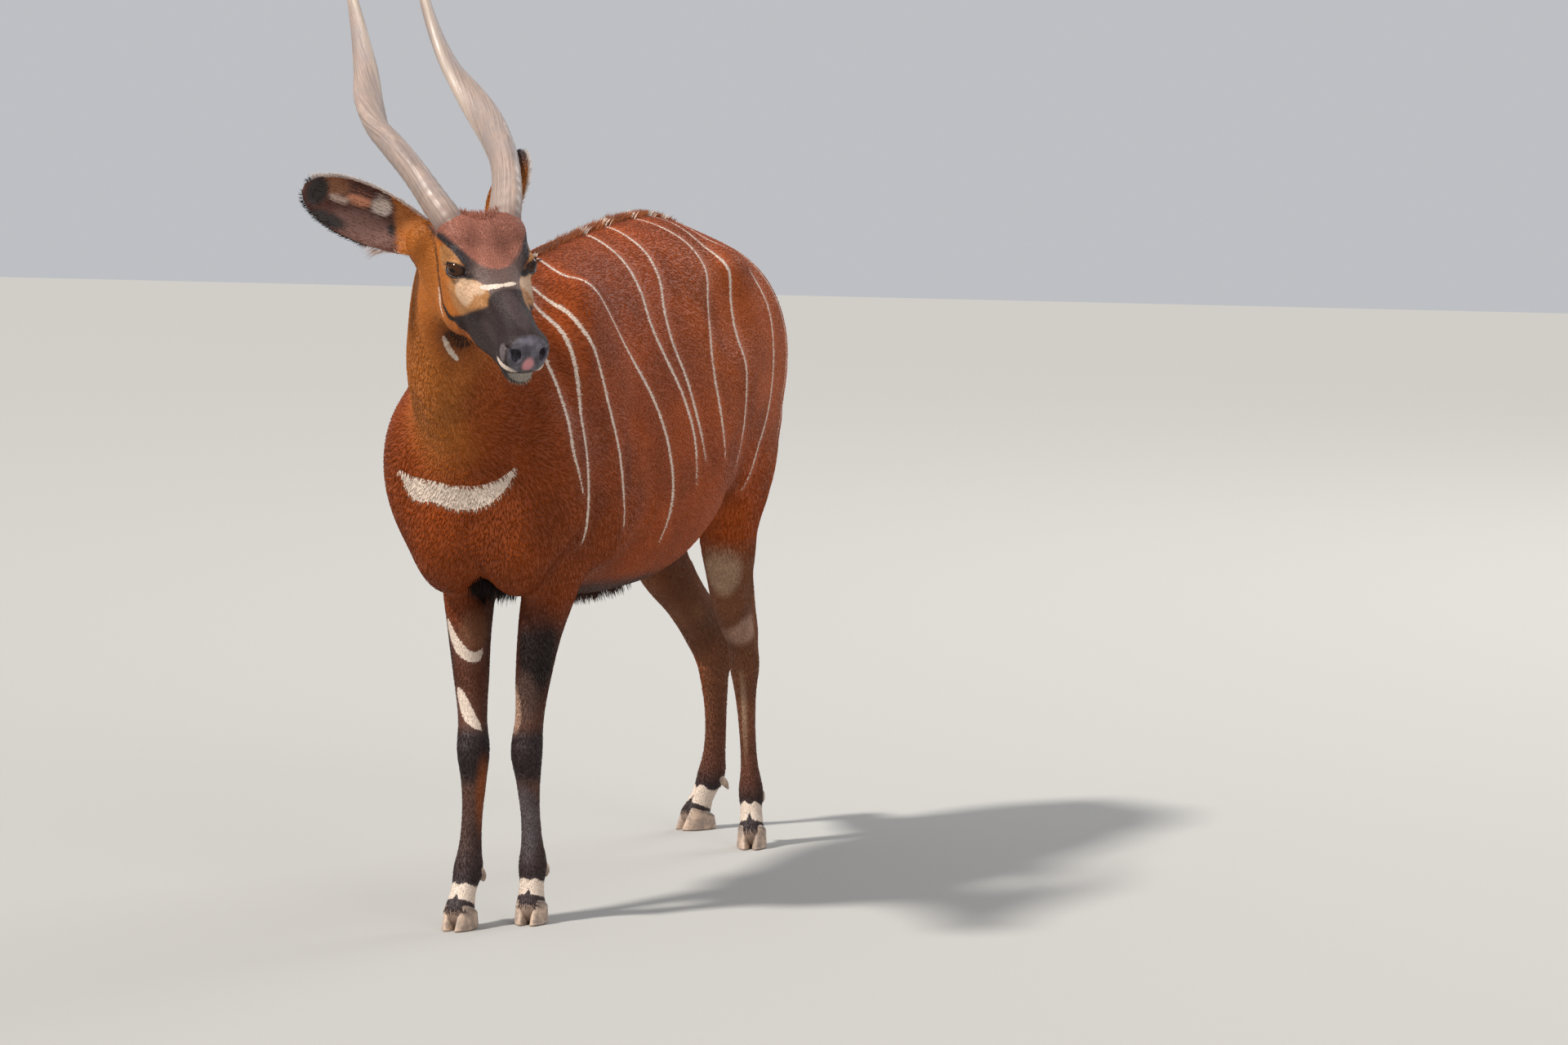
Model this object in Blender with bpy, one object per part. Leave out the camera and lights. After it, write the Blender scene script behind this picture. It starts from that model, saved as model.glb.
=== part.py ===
"""Bongo antelope, an adult bull standing with its head turned to its left, life size, in metres.

The animal faces -Y with its left side at +X and +Z up. Flesh is described as a distance field built
from named stations and muscles, sampled on a grid into one closed mesh, thinned, and parted into
named nodes with thin cuts. Horns, ears, eyes, claws, tail and hair locks are lofted meshes.
"""

import math

import bmesh
import bpy
import numpy as np
from mathutils import Matrix, Vector

# Shift from the drawing frame to the part's frame, whose origin is the middle of the box's base
ORIGIN_SHIFT = (-0.0131, 0.1128, 0.0)

GAP = 0.0003
SHORTEST_EDGE = 0.00002
BODY_STEP = 0.009
HEAD_STEP = 0.0045
BODY_TRIANGLES = 5400
HEAD_TRIANGLES = 2600

# Trunk stations from chest to rump: y, back height, belly height, half width,
# share of the height where it is widest, roundness above and below that
TRUNK = (
    (-0.520, 1.125, 0.670, 0.145, 0.42, 2.0, 2.0),
    (-0.400, 1.235, 0.618, 0.180, 0.42, 1.9, 2.1),
    (-0.250, 1.272, 0.600, 0.203, 0.42, 1.8, 2.1),
    (-0.080, 1.292, 0.592, 0.222, 0.42, 1.8, 2.2),
    (0.100, 1.308, 0.610, 0.236, 0.43, 1.85, 2.2),
    (0.260, 1.306, 0.695, 0.222, 0.45, 1.85, 2.2),
    (0.400, 1.275, 0.770, 0.185, 0.50, 1.85, 2.1),
    (0.520, 1.210, 0.830, 0.147, 0.55, 1.85, 2.0),
    (0.620, 1.125, 0.880, 0.106, 0.58, 1.9, 2.0),
)
# How far the chest leans to the right, and between which two y it comes in
CHEST_SWAY = (-0.014, -0.500, -0.100)
TRUNK_CAPS = (0.100, 0.080)

# Muscles and bones of the trunk, alike on both sides: centre, radii, lean about X in degrees, blend
TRUNK_FORMS = (
    ((0.115, -0.400, 1.010), (0.060, 0.110, 0.210), -18, 0.080),
    ((0.150, -0.370, 0.810), (0.055, 0.105, 0.130), 20, 0.070),
    ((0.128, -0.530, 0.860), (0.066, 0.085, 0.140), 15, 0.070),
    ((0.070, -0.545, 0.735), (0.066, 0.070, 0.105), 10, 0.060),
    ((0.085, 0.440, 1.070), (0.092, 0.190, 0.150), -18, 0.080),
    ((0.090, 0.520, 0.895), (0.068, 0.125, 0.215), 10, 0.090),
    ((0.132, 0.310, 1.190), (0.035, 0.050, 0.034), 0, 0.060),
    ((0.126, 0.385, 0.860), (0.056, 0.100, 0.210), 6, 0.070),
    ((0.112, 0.320, 0.790), (0.042, 0.090, 0.050), -30, 0.070),
)
FLANK_HOLLOW = ((0.235, 0.205, 1.130), (0.050, 0.085, 0.060), 0, 0.070)

# Neck from the chest to the nape: x, y, z, half width, half depth
NECK = (
    (-0.008, -0.400, 0.950, 0.120, 0.262),
    (-0.014, -0.520, 1.035, 0.116, 0.222),
    (-0.016, -0.610, 1.102, 0.104, 0.180),
    (0.006, -0.690, 1.168, 0.090, 0.143),
    (0.030, -0.750, 1.222, 0.081, 0.115),
    (0.055, -0.800, 1.268, 0.072, 0.092),
)

# The head is drawn about its own axes: f towards the nose, l towards its left, u out of the forehead
HEAD_ORIGIN = (0.061, -0.800, 1.311)
HEAD_YAW = 44.5
HEAD_PITCH = 29.5
HEAD_ROLL = 2.2
HEAD_SIZE = 0.99

# Skull stations from nape to nose: f, top, bottom, half width, share of the widest height, roundness
SKULL = (
    (-0.020, 0.046, -0.055, 0.050, 0.50, 2.0, 2.0),
    (0.030, 0.067, -0.078, 0.064, 0.52, 2.2, 2.0),
    (0.080, 0.077, -0.082, 0.071, 0.56, 2.4, 2.0),
    (0.140, 0.076, -0.082, 0.072, 0.58, 2.5, 2.0),
    (0.200, 0.068, -0.076, 0.060, 0.56, 2.3, 2.0),
    (0.260, 0.057, -0.066, 0.047, 0.52, 2.2, 2.1),
    (0.320, 0.046, -0.055, 0.040, 0.50, 2.2, 2.2),
    (0.368, 0.038, -0.046, 0.040, 0.50, 2.2, 2.2),
)
SKULL_CAPS = (0.030, 0.034)
JAW = (
    (0.060, 0.000, -0.112, 0.046, 0.50, 2.0, 2.2),
    (0.120, 0.000, -0.120, 0.048, 0.50, 2.0, 2.4),
    (0.200, -0.010, -0.106, 0.038, 0.50, 2.0, 2.4),
    (0.280, -0.020, -0.084, 0.031, 0.50, 2.0, 2.2),
    (0.350, -0.026, -0.070, 0.029, 0.50, 2.0, 2.2),
)
JAW_CAPS = (0.040, 0.026)
# Cheek, brow, eye surround and muzzle forms of the head: centre (f, l, u), radii, blend
HEAD_FORMS = (
    ((0.115, 0.040, -0.062), (0.062, 0.026, 0.050), 0.020),
    ((0.092, 0.045, 0.069), (0.050, 0.038, 0.038), 0.018),
    ((0.100, 0.000, 0.064), (0.050, 0.034, 0.038), 0.022),
    ((0.010, 0.072, 0.006), (0.034, 0.040, 0.046), 0.034),
    ((0.140, 0.056, 0.060), (0.040, 0.022, 0.016), 0.014),
    ((0.160, 0.050, 0.030), (0.044, 0.023, 0.032), 0.014),
    ((0.200, 0.046, 0.008), (0.050, 0.020, 0.022), 0.020),
    ((0.368, 0.020, 0.002), (0.030, 0.024, 0.028), 0.014),
    ((0.352, 0.024, -0.028), (0.036, 0.018, 0.018), 0.012),
    ((0.352, 0.000, -0.060), (0.030, 0.024, 0.016), 0.012),
)
NOSTRIL = ((0.390, 0.024, 0.004), (0.013, 0.007, 0.012), 0.006)
# Parting of the lips from the front to the corner of the mouth: f, l, u, half width, half depth
MOUTH_LINE = (
    (0.396, 0.000, -0.036, 0.004, 0.004),
    (0.384, 0.024, -0.042, 0.004, 0.004),
    (0.345, 0.043, -0.046, 0.004, 0.004),
    (0.300, 0.042, -0.048, 0.003, 0.003),
)

EYE_CENTRE = (0.1615, 0.0640, 0.0440)
EYE_RADIUS = 0.0210
EYE_OUTWARD = (0.60, 0.775, 0.20)
LID_THICKNESS = 0.0036
LID_OPENING = (0.0200, 0.0108)

# Legs, foot upwards in the order drawn: y, z, half width, half depth; x is set by the leg's own stance
FORELEG = (
    (-0.400, 0.740, 0.060, 0.100),
    (-0.432, 0.640, 0.048, 0.076),
    (-0.450, 0.560, 0.039, 0.060),
    (-0.460, 0.470, 0.032, 0.045),
    (-0.468, 0.385, 0.027, 0.033),
    (-0.474, 0.330, 0.030, 0.037),
    (-0.468, 0.280, 0.024, 0.030),
    (-0.464, 0.200, 0.0185, 0.0250),
    (-0.464, 0.145, 0.0215, 0.0280),
    (-0.466, 0.112, 0.027, 0.033),
    (-0.480, 0.075, 0.024, 0.026),
    (-0.494, 0.030, 0.029, 0.034),
)
HINDLEG = (
    (0.450, 0.900, 0.068, 0.155),
    (0.430, 0.780, 0.061, 0.132),
    (0.420, 0.700, 0.054, 0.112),
    (0.452, 0.600, 0.045, 0.084),
    (0.515, 0.505, 0.035, 0.056),
    (0.580, 0.425, 0.0300, 0.045),
    (0.602, 0.375, 0.0300, 0.043),
    (0.602, 0.315, 0.0225, 0.032),
    (0.598, 0.235, 0.0175, 0.0250),
    (0.597, 0.155, 0.0195, 0.0265),
    (0.596, 0.115, 0.0255, 0.031),
    (0.582, 0.075, 0.023, 0.025),
    (0.568, 0.030, 0.028, 0.033),
)
# Point of the hock and the tendon above it: y, z, half width, half depth
HEEL = (
    (0.555, 0.565, 0.014, 0.022),
    (0.605, 0.492, 0.014, 0.022),
    (0.645, 0.425, 0.017, 0.020),
    (0.634, 0.365, 0.017, 0.020),
)
# Stance of each leg: its turn about the vertical in degrees towards the left, and by height
# its x and how far it is moved along y
STANCES = {
    "front_left": (8, ((0.70, 0.085, 0.0), (0.51, 0.056, 0.0), (0.32, 0.041, 0.006), (0.0, 0.038, 0.048))),
    "front_right": (
        -2,
        ((0.70, -0.095, 0.0), (0.51, -0.077, 0.0), (0.32, -0.052, -0.026), (0.0, -0.056, -0.072)),
    ),
    "hind_left": (
        15,
        ((0.75, 0.108, 0.0), (0.60, 0.093, 0.0), (0.50, 0.072, 0.0), (0.39, 0.063, 0.0), (0.0, 0.079, 0.018)),
    ),
    "hind_right": (
        -35,
        ((0.75, -0.100, 0.03), (0.60, -0.096, 0.09), (0.39, -0.080, 0.18), (0.2, -0.073, 0.2), (0.0, -0.105, 0.215)),
    ),
}
# The y about which the lower front and hind legs are turned, and the heights between which it starts
TURN_AXIS = {"front": -0.468, "hind": 0.600}
TURN_HEIGHTS = (0.36, 0.50)

# Hooves: height of the coronet at the claw's middle, its slope, and the claw's size at the sole
CORONET_HEIGHT = 0.040
CORONET_SLOPE = 0.35
CLAW_HALF_WIDTH = 0.0145
CLAW_HALF_LENGTH = 0.041
CLEFT = 0.0016
# Claw sections from the sole up: height (metres below 0.1, else share of the coronet's height),
# width, length, how far it is set back as a share of the half length
CLAW = (
    (0.0, 0.90, 0.94, 0.00),
    (0.004, 1.00, 1.00, 0.00),
    (0.450, 0.97, 0.86, 0.10),
    (1.000, 0.93, 0.70, 0.20),
)
# The two small claws behind each fetlock: height, how far behind the leg's line, how far to the side
DEWCLAW_PLACE = (0.098, 0.026, 0.015)
# Their sections from the root to the tip: distance out of the leg, drop, radius
DEWCLAW = ((-0.014, -0.010, 0.0110), (0.002, -0.002, 0.0105), (0.010, 0.006, 0.0085), (0.014, 0.013, 0.0040))

# Horn stations: distance from the base towards its tip, half of the space between the two horns,
# rise from the straight line, radius, turn of the oval section in degrees
HORN = (
    (-0.070, 0.0310, -0.0520, 0.0330, 113),
    (-0.035, 0.0375, -0.0225, 0.0345, 112),
    (0.000, 0.0507, -0.0118, 0.0330, 111),
    (0.050, 0.0688, -0.0034, 0.0305, 110),
    (0.100, 0.0829, 0.0013, 0.0280, 109),
    (0.150, 0.0934, -0.0022, 0.0268, 109),
    (0.210, 0.1021, -0.0159, 0.0262, 112),
    (0.280, 0.1088, -0.0359, 0.0250, 132),
    (0.360, 0.1021, -0.0486, 0.0230, 170),
    (0.450, 0.0841, -0.0513, 0.0190, 214),
    (0.560, 0.0728, -0.0344, 0.0138, 250),
    (0.620, 0.0710, -0.0190, 0.0105, 266),
    (0.670, 0.0740, -0.0040, 0.0070, 278),
    (0.720, 0.0830, 0.0140, 0.0022, 289),
)
HORN_BASE = (0.066, 0.000, 0.086)
HORN_DIRECTION = (-0.974, 0.000, 0.225)
HORN_KEEL = 0.10
HORN_OVAL = 1.17

# Ears: root (f, l, u), way to the tip, and the side towards which the cup opens
EARS = {
    "ear_right": ((0.030, -0.064, 0.012), (-0.118, -0.222, 0.062), (0.857, -0.468, 0.217)),
    "ear_left": ((0.012, 0.076, 0.018), (-0.120, 0.051, 0.092), (-0.170, 0.965, -0.200)),
}
# Ear stations: share of the length, half width, depth of the cup, how hollow it is
EAR = (
    (0.00, 0.034, 0.030, 0.00),
    (0.14, 0.040, 0.032, 0.00),
    (0.24, 0.047, 0.032, 0.45),
    (0.38, 0.053, 0.030, 0.78),
    (0.55, 0.056, 0.024, 0.84),
    (0.72, 0.052, 0.016, 0.84),
    (0.87, 0.039, 0.011, 0.78),
    (0.96, 0.024, 0.008, 0.60),
    (1.00, 0.009, 0.005, 0.30),
)

# Tail: x, y, z, half width, half depth
TAIL = (
    (0.000, 0.600, 1.130, 0.034, 0.030),
    (0.002, 0.700, 1.075, 0.026, 0.022),
    (0.004, 0.748, 0.985, 0.019, 0.017),
    (0.006, 0.760, 0.860, 0.015, 0.013),
    (0.004, 0.752, 0.720, 0.012, 0.011),
    (0.002, 0.744, 0.600, 0.010, 0.010),
)
# Tuft of the tail: how far it reaches up the tail, and its rings of locks: number of the ring from
# the top, count, radius, length
TUFT_OVERLAP = 0.060
TUFT_SEED = 5
TUFT_RINGS = ((0, 7, 0.010, 0.160), (1, 6, 0.009, 0.175), (2, 4, 0.006, 0.170))

# Crest of erect hair along the back
CREST_SEED = 11
CREST_RANGE = (-0.330, 0.330)
CREST_LOCKS = 22
CREST_SPACING = 0.030
CREST_HEIGHT = 0.024
CREST_DEPTH = 0.012

# Thin cuts between the trunk and its limbs: centre, direction across the cut, size of the plate
PLATES = (
    ((0.000, -0.640, 1.020), (0.0, -0.80, 0.60), (0.60, 0.90)),
    ((0.120, -0.440, 0.580), (0.0, 0.0, 1.0), (0.238, 0.36)),
    ((-0.120, -0.440, 0.580), (0.0, 0.0, 1.0), (0.238, 0.36)),
    ((0.120, 0.520, 0.630), (0.0, 0.0, 1.0), (0.238, 0.44)),
    ((-0.120, 0.520, 0.630), (0.0, 0.0, 1.0), (0.238, 0.44)),
)
ANCHORS = {
    "torso": (0.0, 0.0, 0.95),
    "neck": (0.0, -0.70, 1.15),
    "foreleg_left": (0.05, -0.46, 0.35),
    "foreleg_right": (-0.06, -0.49, 0.35),
    "hindleg_left": (0.08, 0.55, 0.40),
    "hindleg_right": (-0.09, 0.70, 0.40),
}
# The cut between head and neck, in the head's own axes: a point of it and its direction
NAPE = (0.020, 0.000, -0.125)
NAPE_NORMAL = (0.86, 0.00, 0.51)

# Plain colours and roughness of the nodes
COLOURS = {
    "eye": ((0.020, 0.012, 0.008), 0.08),
    "horn": ((0.250, 0.190, 0.150), 0.45),
    "claw": ((0.300, 0.235, 0.190), 0.55),
    "ear": ((0.300, 0.110, 0.045), 0.75),
    "crest": ((0.120, 0.050, 0.025), 0.85),
    "tuft": ((0.030, 0.020, 0.015), 0.85),
    "leg": ((0.140, 0.055, 0.030), 0.75),
    "head": ((0.220, 0.090, 0.050), 0.75),
    "neck": ((0.380, 0.150, 0.050), 0.75),
    "torso": ((0.340, 0.095, 0.028), 0.75),
    "tail": ((0.300, 0.090, 0.030), 0.80),
}
FLAT_KINDS = ("crest", "tuft")


def rotation_x(degrees):
    """The rotation about X as a numpy matrix."""
    return np.array(Matrix.Rotation(math.radians(degrees), 3, "X"))


def turned(degrees):
    """The rotation about the vertical of a pair (x, y), to the left where the animal faces -Y."""
    c, s = math.cos(math.radians(degrees)), math.sin(math.radians(degrees))
    return np.array(((c, -s), (s, c)))


def unit(vector):
    vector = np.array(vector, float)
    return vector / np.linalg.norm(vector)


def head_axes():
    """Columns f, l and u of the head, in the drawing frame."""
    yaw, pitch, roll = (math.radians(a) for a in (HEAD_YAW, HEAD_PITCH, HEAD_ROLL))
    ahead = (math.sin(yaw), -math.cos(yaw))
    f = Vector((ahead[0] * math.cos(pitch), ahead[1] * math.cos(pitch), -math.sin(pitch)))
    u = Vector((ahead[0] * math.sin(pitch), ahead[1] * math.sin(pitch), math.cos(pitch)))
    u.rotate(Matrix.Rotation(roll, 3, f))
    return np.array((f, u.cross(f), u)).T


HEAD_AXES = head_axes()


def to_head(points):
    return (points - np.array(HEAD_ORIGIN)) @ HEAD_AXES / HEAD_SIZE


def from_head(points):
    return np.asarray(points) * HEAD_SIZE @ HEAD_AXES.T + np.array(HEAD_ORIGIN)


# Distance fields


def smooth_min(a, b, blend):
    """The union of two fields, rounded over about blend metres."""
    h = np.clip(0.5 + 0.5 * (b - a) / blend, 0.0, 1.0)
    return b + h * (a - b) - blend * h * (1.0 - h)


def hermite_table(stations, count):
    """Stations joined by a smooth curve, resampled evenly along their first column."""
    rows = np.array(stations, float)
    x = rows[:, 0]
    slope = np.gradient(rows, x, axis=0)
    t = np.linspace(x[0], x[-1], count)
    i = np.clip(np.searchsorted(x, t) - 1, 0, len(x) - 2)
    width = (x[i + 1] - x[i])[:, None]
    s = ((t - x[i]) / width[:, 0])[:, None]
    return (
        (1 + 2 * s) * (1 - s) ** 2 * rows[i]
        + s * (1 - s) ** 2 * width * slope[i]
        + s * s * (3 - 2 * s) * rows[i + 1]
        + s * s * (s - 1) * width * slope[i + 1]
    )


def ellipsoid(points, centre, radii, axes=None):
    q = points - np.array(centre)
    if axes is not None:
        q = q @ axes
    radii = np.array(radii)
    k0 = np.linalg.norm(q / radii, axis=1)
    k1 = np.linalg.norm(q / radii**2, axis=1)
    return k0 * (k0 - 1.0) / np.maximum(k1, 1e-9)


def loft(across, along, height, table, caps):
    """A body whose sections are ovals with their own top, bottom, width and roundness."""
    t = np.clip(along, table[0, 0], table[-1, 0])
    top, bottom, half, share, n_up, n_low = (
        np.interp(t, table[:, 0], table[:, c]) for c in range(1, 7)
    )
    middle = bottom + share * (top - bottom)
    rise = height - middle
    reach = np.where(rise > 0, top - middle, middle - bottom)
    n = np.where(rise > 0, n_up, n_low)
    past = along - t
    cap = np.where(past < 0, caps[0], caps[1])
    oval = ((np.abs(across) / half) ** n + (np.abs(rise) / reach) ** n) ** (1.0 / n)
    r = np.sqrt(oval**2 + (past / cap) ** 2) + 1e-9
    away = np.sqrt(across**2 + rise**2 + past**2)
    return away * (1.0 - 1.0 / r)


class Tube:
    """A limb of oval sections strung on a curved spine. side is the direction of the half width,
    turned about the vertical by a sixth column of the stations, if there is one."""

    def __init__(self, stations, side, steps=4):
        rows = np.array(stations, float)
        length = np.r_[0, np.cumsum(np.linalg.norm(np.diff(rows[:, :3], axis=0), axis=1))]
        table = hermite_table(np.c_[length, rows], steps * (len(rows) - 1) + 1)
        self.spine, self.half = table[:, 1:4], table[:, 4:6]
        tangent = np.gradient(self.spine, axis=0)
        self.axis = tangent / np.linalg.norm(tangent, axis=1)[:, None]
        self.side = np.tile(np.array(side, float), (len(table), 1))
        if rows.shape[1] > 5:
            for i, degrees in enumerate(table[:, 6]):
                self.side[i, :2] = turned(degrees) @ self.side[i, :2]
        margin = self.half.max() + 0.07
        self.low, self.high = self.spine.min(0) - margin, self.spine.max(0) + margin

    def __call__(self, points):
        nearest = np.full(len(points), np.inf)
        offset = np.zeros_like(points)
        place = np.zeros(len(points))
        for i, (a, b) in enumerate(zip(self.spine[:-1], self.spine[1:])):
            run = b - a
            t = np.clip((points - a) @ run / (run @ run), 0.0, 1.0)
            away = points - a - t[:, None] * run
            square = np.einsum("ij,ij->i", away, away)
            closer = square < nearest
            nearest[closer] = square[closer]
            offset[closer] = away[closer]
            place[closer] = i + t[closer]
        knots = np.arange(len(self.spine))
        axis, side = (
            np.stack([np.interp(place, knots, v[:, c]) for c in range(3)], 1)
            for v in (self.axis, self.side)
        )
        axis /= np.linalg.norm(axis, axis=1)[:, None]
        side -= np.einsum("ij,ij->i", axis, side)[:, None] * axis
        side /= np.linalg.norm(side, axis=1)[:, None]
        front = np.cross(axis, side)
        wide = np.interp(place, knots, self.half[:, 0])
        deep = np.interp(place, knots, self.half[:, 1])
        across = np.einsum("ij,ij->i", offset, side) / wide
        ahead = np.einsum("ij,ij->i", offset, front) / deep
        past = np.einsum("ij,ij->i", offset, axis) / np.minimum(wide, deep)
        r = np.sqrt(across**2 + ahead**2 + past**2) + 1e-9
        return np.sqrt(nearest) * (1.0 - 1.0 / r)


def leg_stations(name, stations):
    """A leg's drawn stations set in its stance, each with its turn about the vertical at the end."""
    turn, heights = STANCES[name]
    z, x, stride = np.array(heights)[::-1].T
    axis = TURN_AXIS[name.split("_")[0]]
    low, high = TURN_HEIGHTS
    placed = []
    for y, height, wide, deep in stations:
        here = np.array((np.interp(height, z, x), axis + np.interp(height, z, stride)))
        degrees = turn * min(max((high - height) / (high - low), 0.0), 1.0)
        here = here + turned(degrees) @ np.array((0.0, y - axis))
        placed.append((*here, height, wide, deep, degrees))
    return np.array(placed)


def add_within(value, points, low, high, field, blend):
    """Joins a form into value, worked out only for the points inside its box."""
    near = np.all((points > low) & (points < high), axis=1)
    if near.any():
        value[near] = smooth_min(value[near], field(points[near]), blend)


class Flesh:
    """The whole body's field. A call gives the distance of points, below zero inside."""

    def __init__(self):
        self.trunk = hermite_table(TRUNK, 160)
        self.skull = hermite_table(SKULL, 80)
        self.jaw = hermite_table(JAW, 60)
        self.neck = Tube(NECK, (1, 0, 0))
        self.mouth = Tube(MOUTH_LINE, (0, 0, 1))
        self.limbs = []
        for name in STANCES:
            front = name.startswith("front")
            stations = leg_stations(name, FORELEG if front else HINDLEG)
            self.limbs.append((Tube(stations, (1, 0, 0)), 0.030))
            if not front:
                self.limbs.append((Tube(leg_stations(name, HEEL), (1, 0, 0)), 0.028))

    def lids(self, q):
        """The lids, a rim over the eyeball, and the almond open between them in front of it."""
        outward = unit(EYE_OUTWARD)
        up = unit(np.array((0, 0, 1.0)) - outward[2] * outward)
        along = np.cross(up, outward)
        q = q - np.array(EYE_CENTRE)
        across, rise, out = q @ along, q @ up, q @ outward
        length, height = LID_OPENING
        almond = np.sqrt((across / length) ** 2 + ((rise + 0.12 * across) / height) ** 2)
        away = np.linalg.norm(q, axis=1) - EYE_RADIUS
        rim = np.maximum(away - LID_THICKNESS, height * (1.0 - almond))
        opening = np.maximum(height * (almond - 1.0), 0.005 - np.minimum(out, away + 0.006))
        return rim, opening

    def head(self, points):
        q = to_head(points)
        f, l, u = q.T
        value = loft(l, f, u, self.skull, SKULL_CAPS)
        value = smooth_min(value, loft(l, f, u, self.jaw, JAW_CAPS), 0.018)
        q = np.c_[f, np.abs(l), u]
        for centre, radii, blend in HEAD_FORMS:
            value = smooth_min(value, ellipsoid(q, centre, radii), blend)
        rim, opening = self.lids(q)
        value = smooth_min(value, rim, 0.003)
        value = np.maximum(value, -opening)
        centre, radii, blend = NOSTRIL
        value = -smooth_min(-value, ellipsoid(q, centre, radii), blend)
        value = -smooth_min(-value, self.mouth(q), 0.004)
        return value * HEAD_SIZE

    def __call__(self, points):
        sway, far, near = CHEST_SWAY
        across = points[:, 0] - sway * np.clip((near - points[:, 1]) / (near - far), 0.0, 1.0)
        value = loft(across, points[:, 1], points[:, 2], self.trunk, TRUNK_CAPS)
        half = np.c_[np.abs(across), points[:, 1:]]
        for centre, radii, lean, blend in TRUNK_FORMS:
            reach = max(radii) + 0.10
            low, high = np.array(centre) - reach, np.array(centre) + reach
            axes = rotation_x(lean)
            add_within(
                value, half, low, high, lambda p: ellipsoid(p, centre, radii, axes), blend
            )
        centre, radii, _, blend = FLANK_HOLLOW
        near = np.all(np.abs(half - centre) < 0.25, axis=1)
        value[near] = -smooth_min(
            -value[near], ellipsoid(half[near], centre, radii), blend
        )
        neck = self.neck
        add_within(value, points, neck.low, neck.high, neck, 0.070)
        for tube, blend in self.limbs:
            add_within(value, points, tube.low, tube.high, tube, blend)
        middle = from_head((0.17, 0.0, -0.02))
        add_within(value, points, middle - 0.36, middle + 0.36, self.head, 0.030)
        return value


# Meshing


def sample(field, low, high, step):
    """The field on a grid, worked out in full only near the surface. The border is left outside."""
    block = 4
    counts = [math.ceil((b - a) / step / block) for a, b in zip(low, high)]
    axes = [a + step * block * np.arange(n + 1) for a, n in zip(low, counts)]
    corners = np.stack(np.meshgrid(*axes, indexing="ij"), -1).reshape(-1, 3)
    coarse = field(corners).reshape([n + 1 for n in counts])
    close = np.abs(coarse) < step * block * 1.7
    cell = np.zeros(counts, bool)
    for i in (0, 1):
        for j in (0, 1):
            for k in (0, 1):
                cell |= close[
                    i : i + counts[0], j : j + counts[1], k : k + counts[2]
                ]
    shape = [n * block + 1 for n in counts]
    values = np.zeros(shape, np.float64)
    near = np.zeros(shape, bool)
    fill = coarse[:-1, :-1, :-1]
    for axis in range(3):
        fill = np.repeat(fill, block, axis)
        cell = np.repeat(cell, block, axis)
    values[:-1, :-1, :-1] = fill
    near[:-1, :-1, :-1] = cell
    for axis in range(3):
        moved = np.roll(near, 1, axis)
        near |= moved
    index = np.argwhere(near)
    values[near] = field(np.array(low) + step * index)
    for axis in range(3):
        edge = [slice(None)] * 3
        for end in (0, -1):
            edge[axis] = end
            values[tuple(edge)] = np.maximum(values[tuple(edge)], step * 0.5)
    return values


def windows(shape, corners):
    """For each corner of a grid cell, the slice of the grid that holds that corner of every cell."""
    return [tuple(slice(c, n - 1 + c) for c, n in zip(corner, shape)) for corner in corners]


def untangle(values, step):
    """Fills the grid's corners where the surface would touch itself along an edge or at a point."""
    full = -0.05 * step
    changed = True
    while changed:
        changed = False
        for axis in range(3):
            shape = list(values.shape)
            shape[axis] += 1
            square = [(0, 0), (1, 0), (1, 1), (0, 1)]
            faces = windows(shape, [(*c[:axis], 0, *c[axis:]) for c in square])
            a, b, c, d = (values[w] < 0 for w in faces)
            tangled = (a == c) & (b == d) & (a != b)
            for window in faces:
                values[window][tangled] = np.minimum(values[window][tangled], full)
            changed |= bool(tangled.any())
        cube = windows(values.shape, [(i, j, k) for i in (0, 1) for j in (0, 1) for k in (0, 1)])
        inside = np.array([values[w] < 0 for w in cube])
        count = inside.sum(axis=0)
        tangled = np.zeros(count.shape, bool)
        for number in range(4):
            near, far = inside[number], inside[7 - number]
            tangled |= (near & far & (count == 2)) | (~near & ~far & (count == 6))
        for window in cube:
            values[window][tangled] = np.minimum(values[window][tangled], full)
        changed |= bool(tangled.any())
    return values


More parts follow.
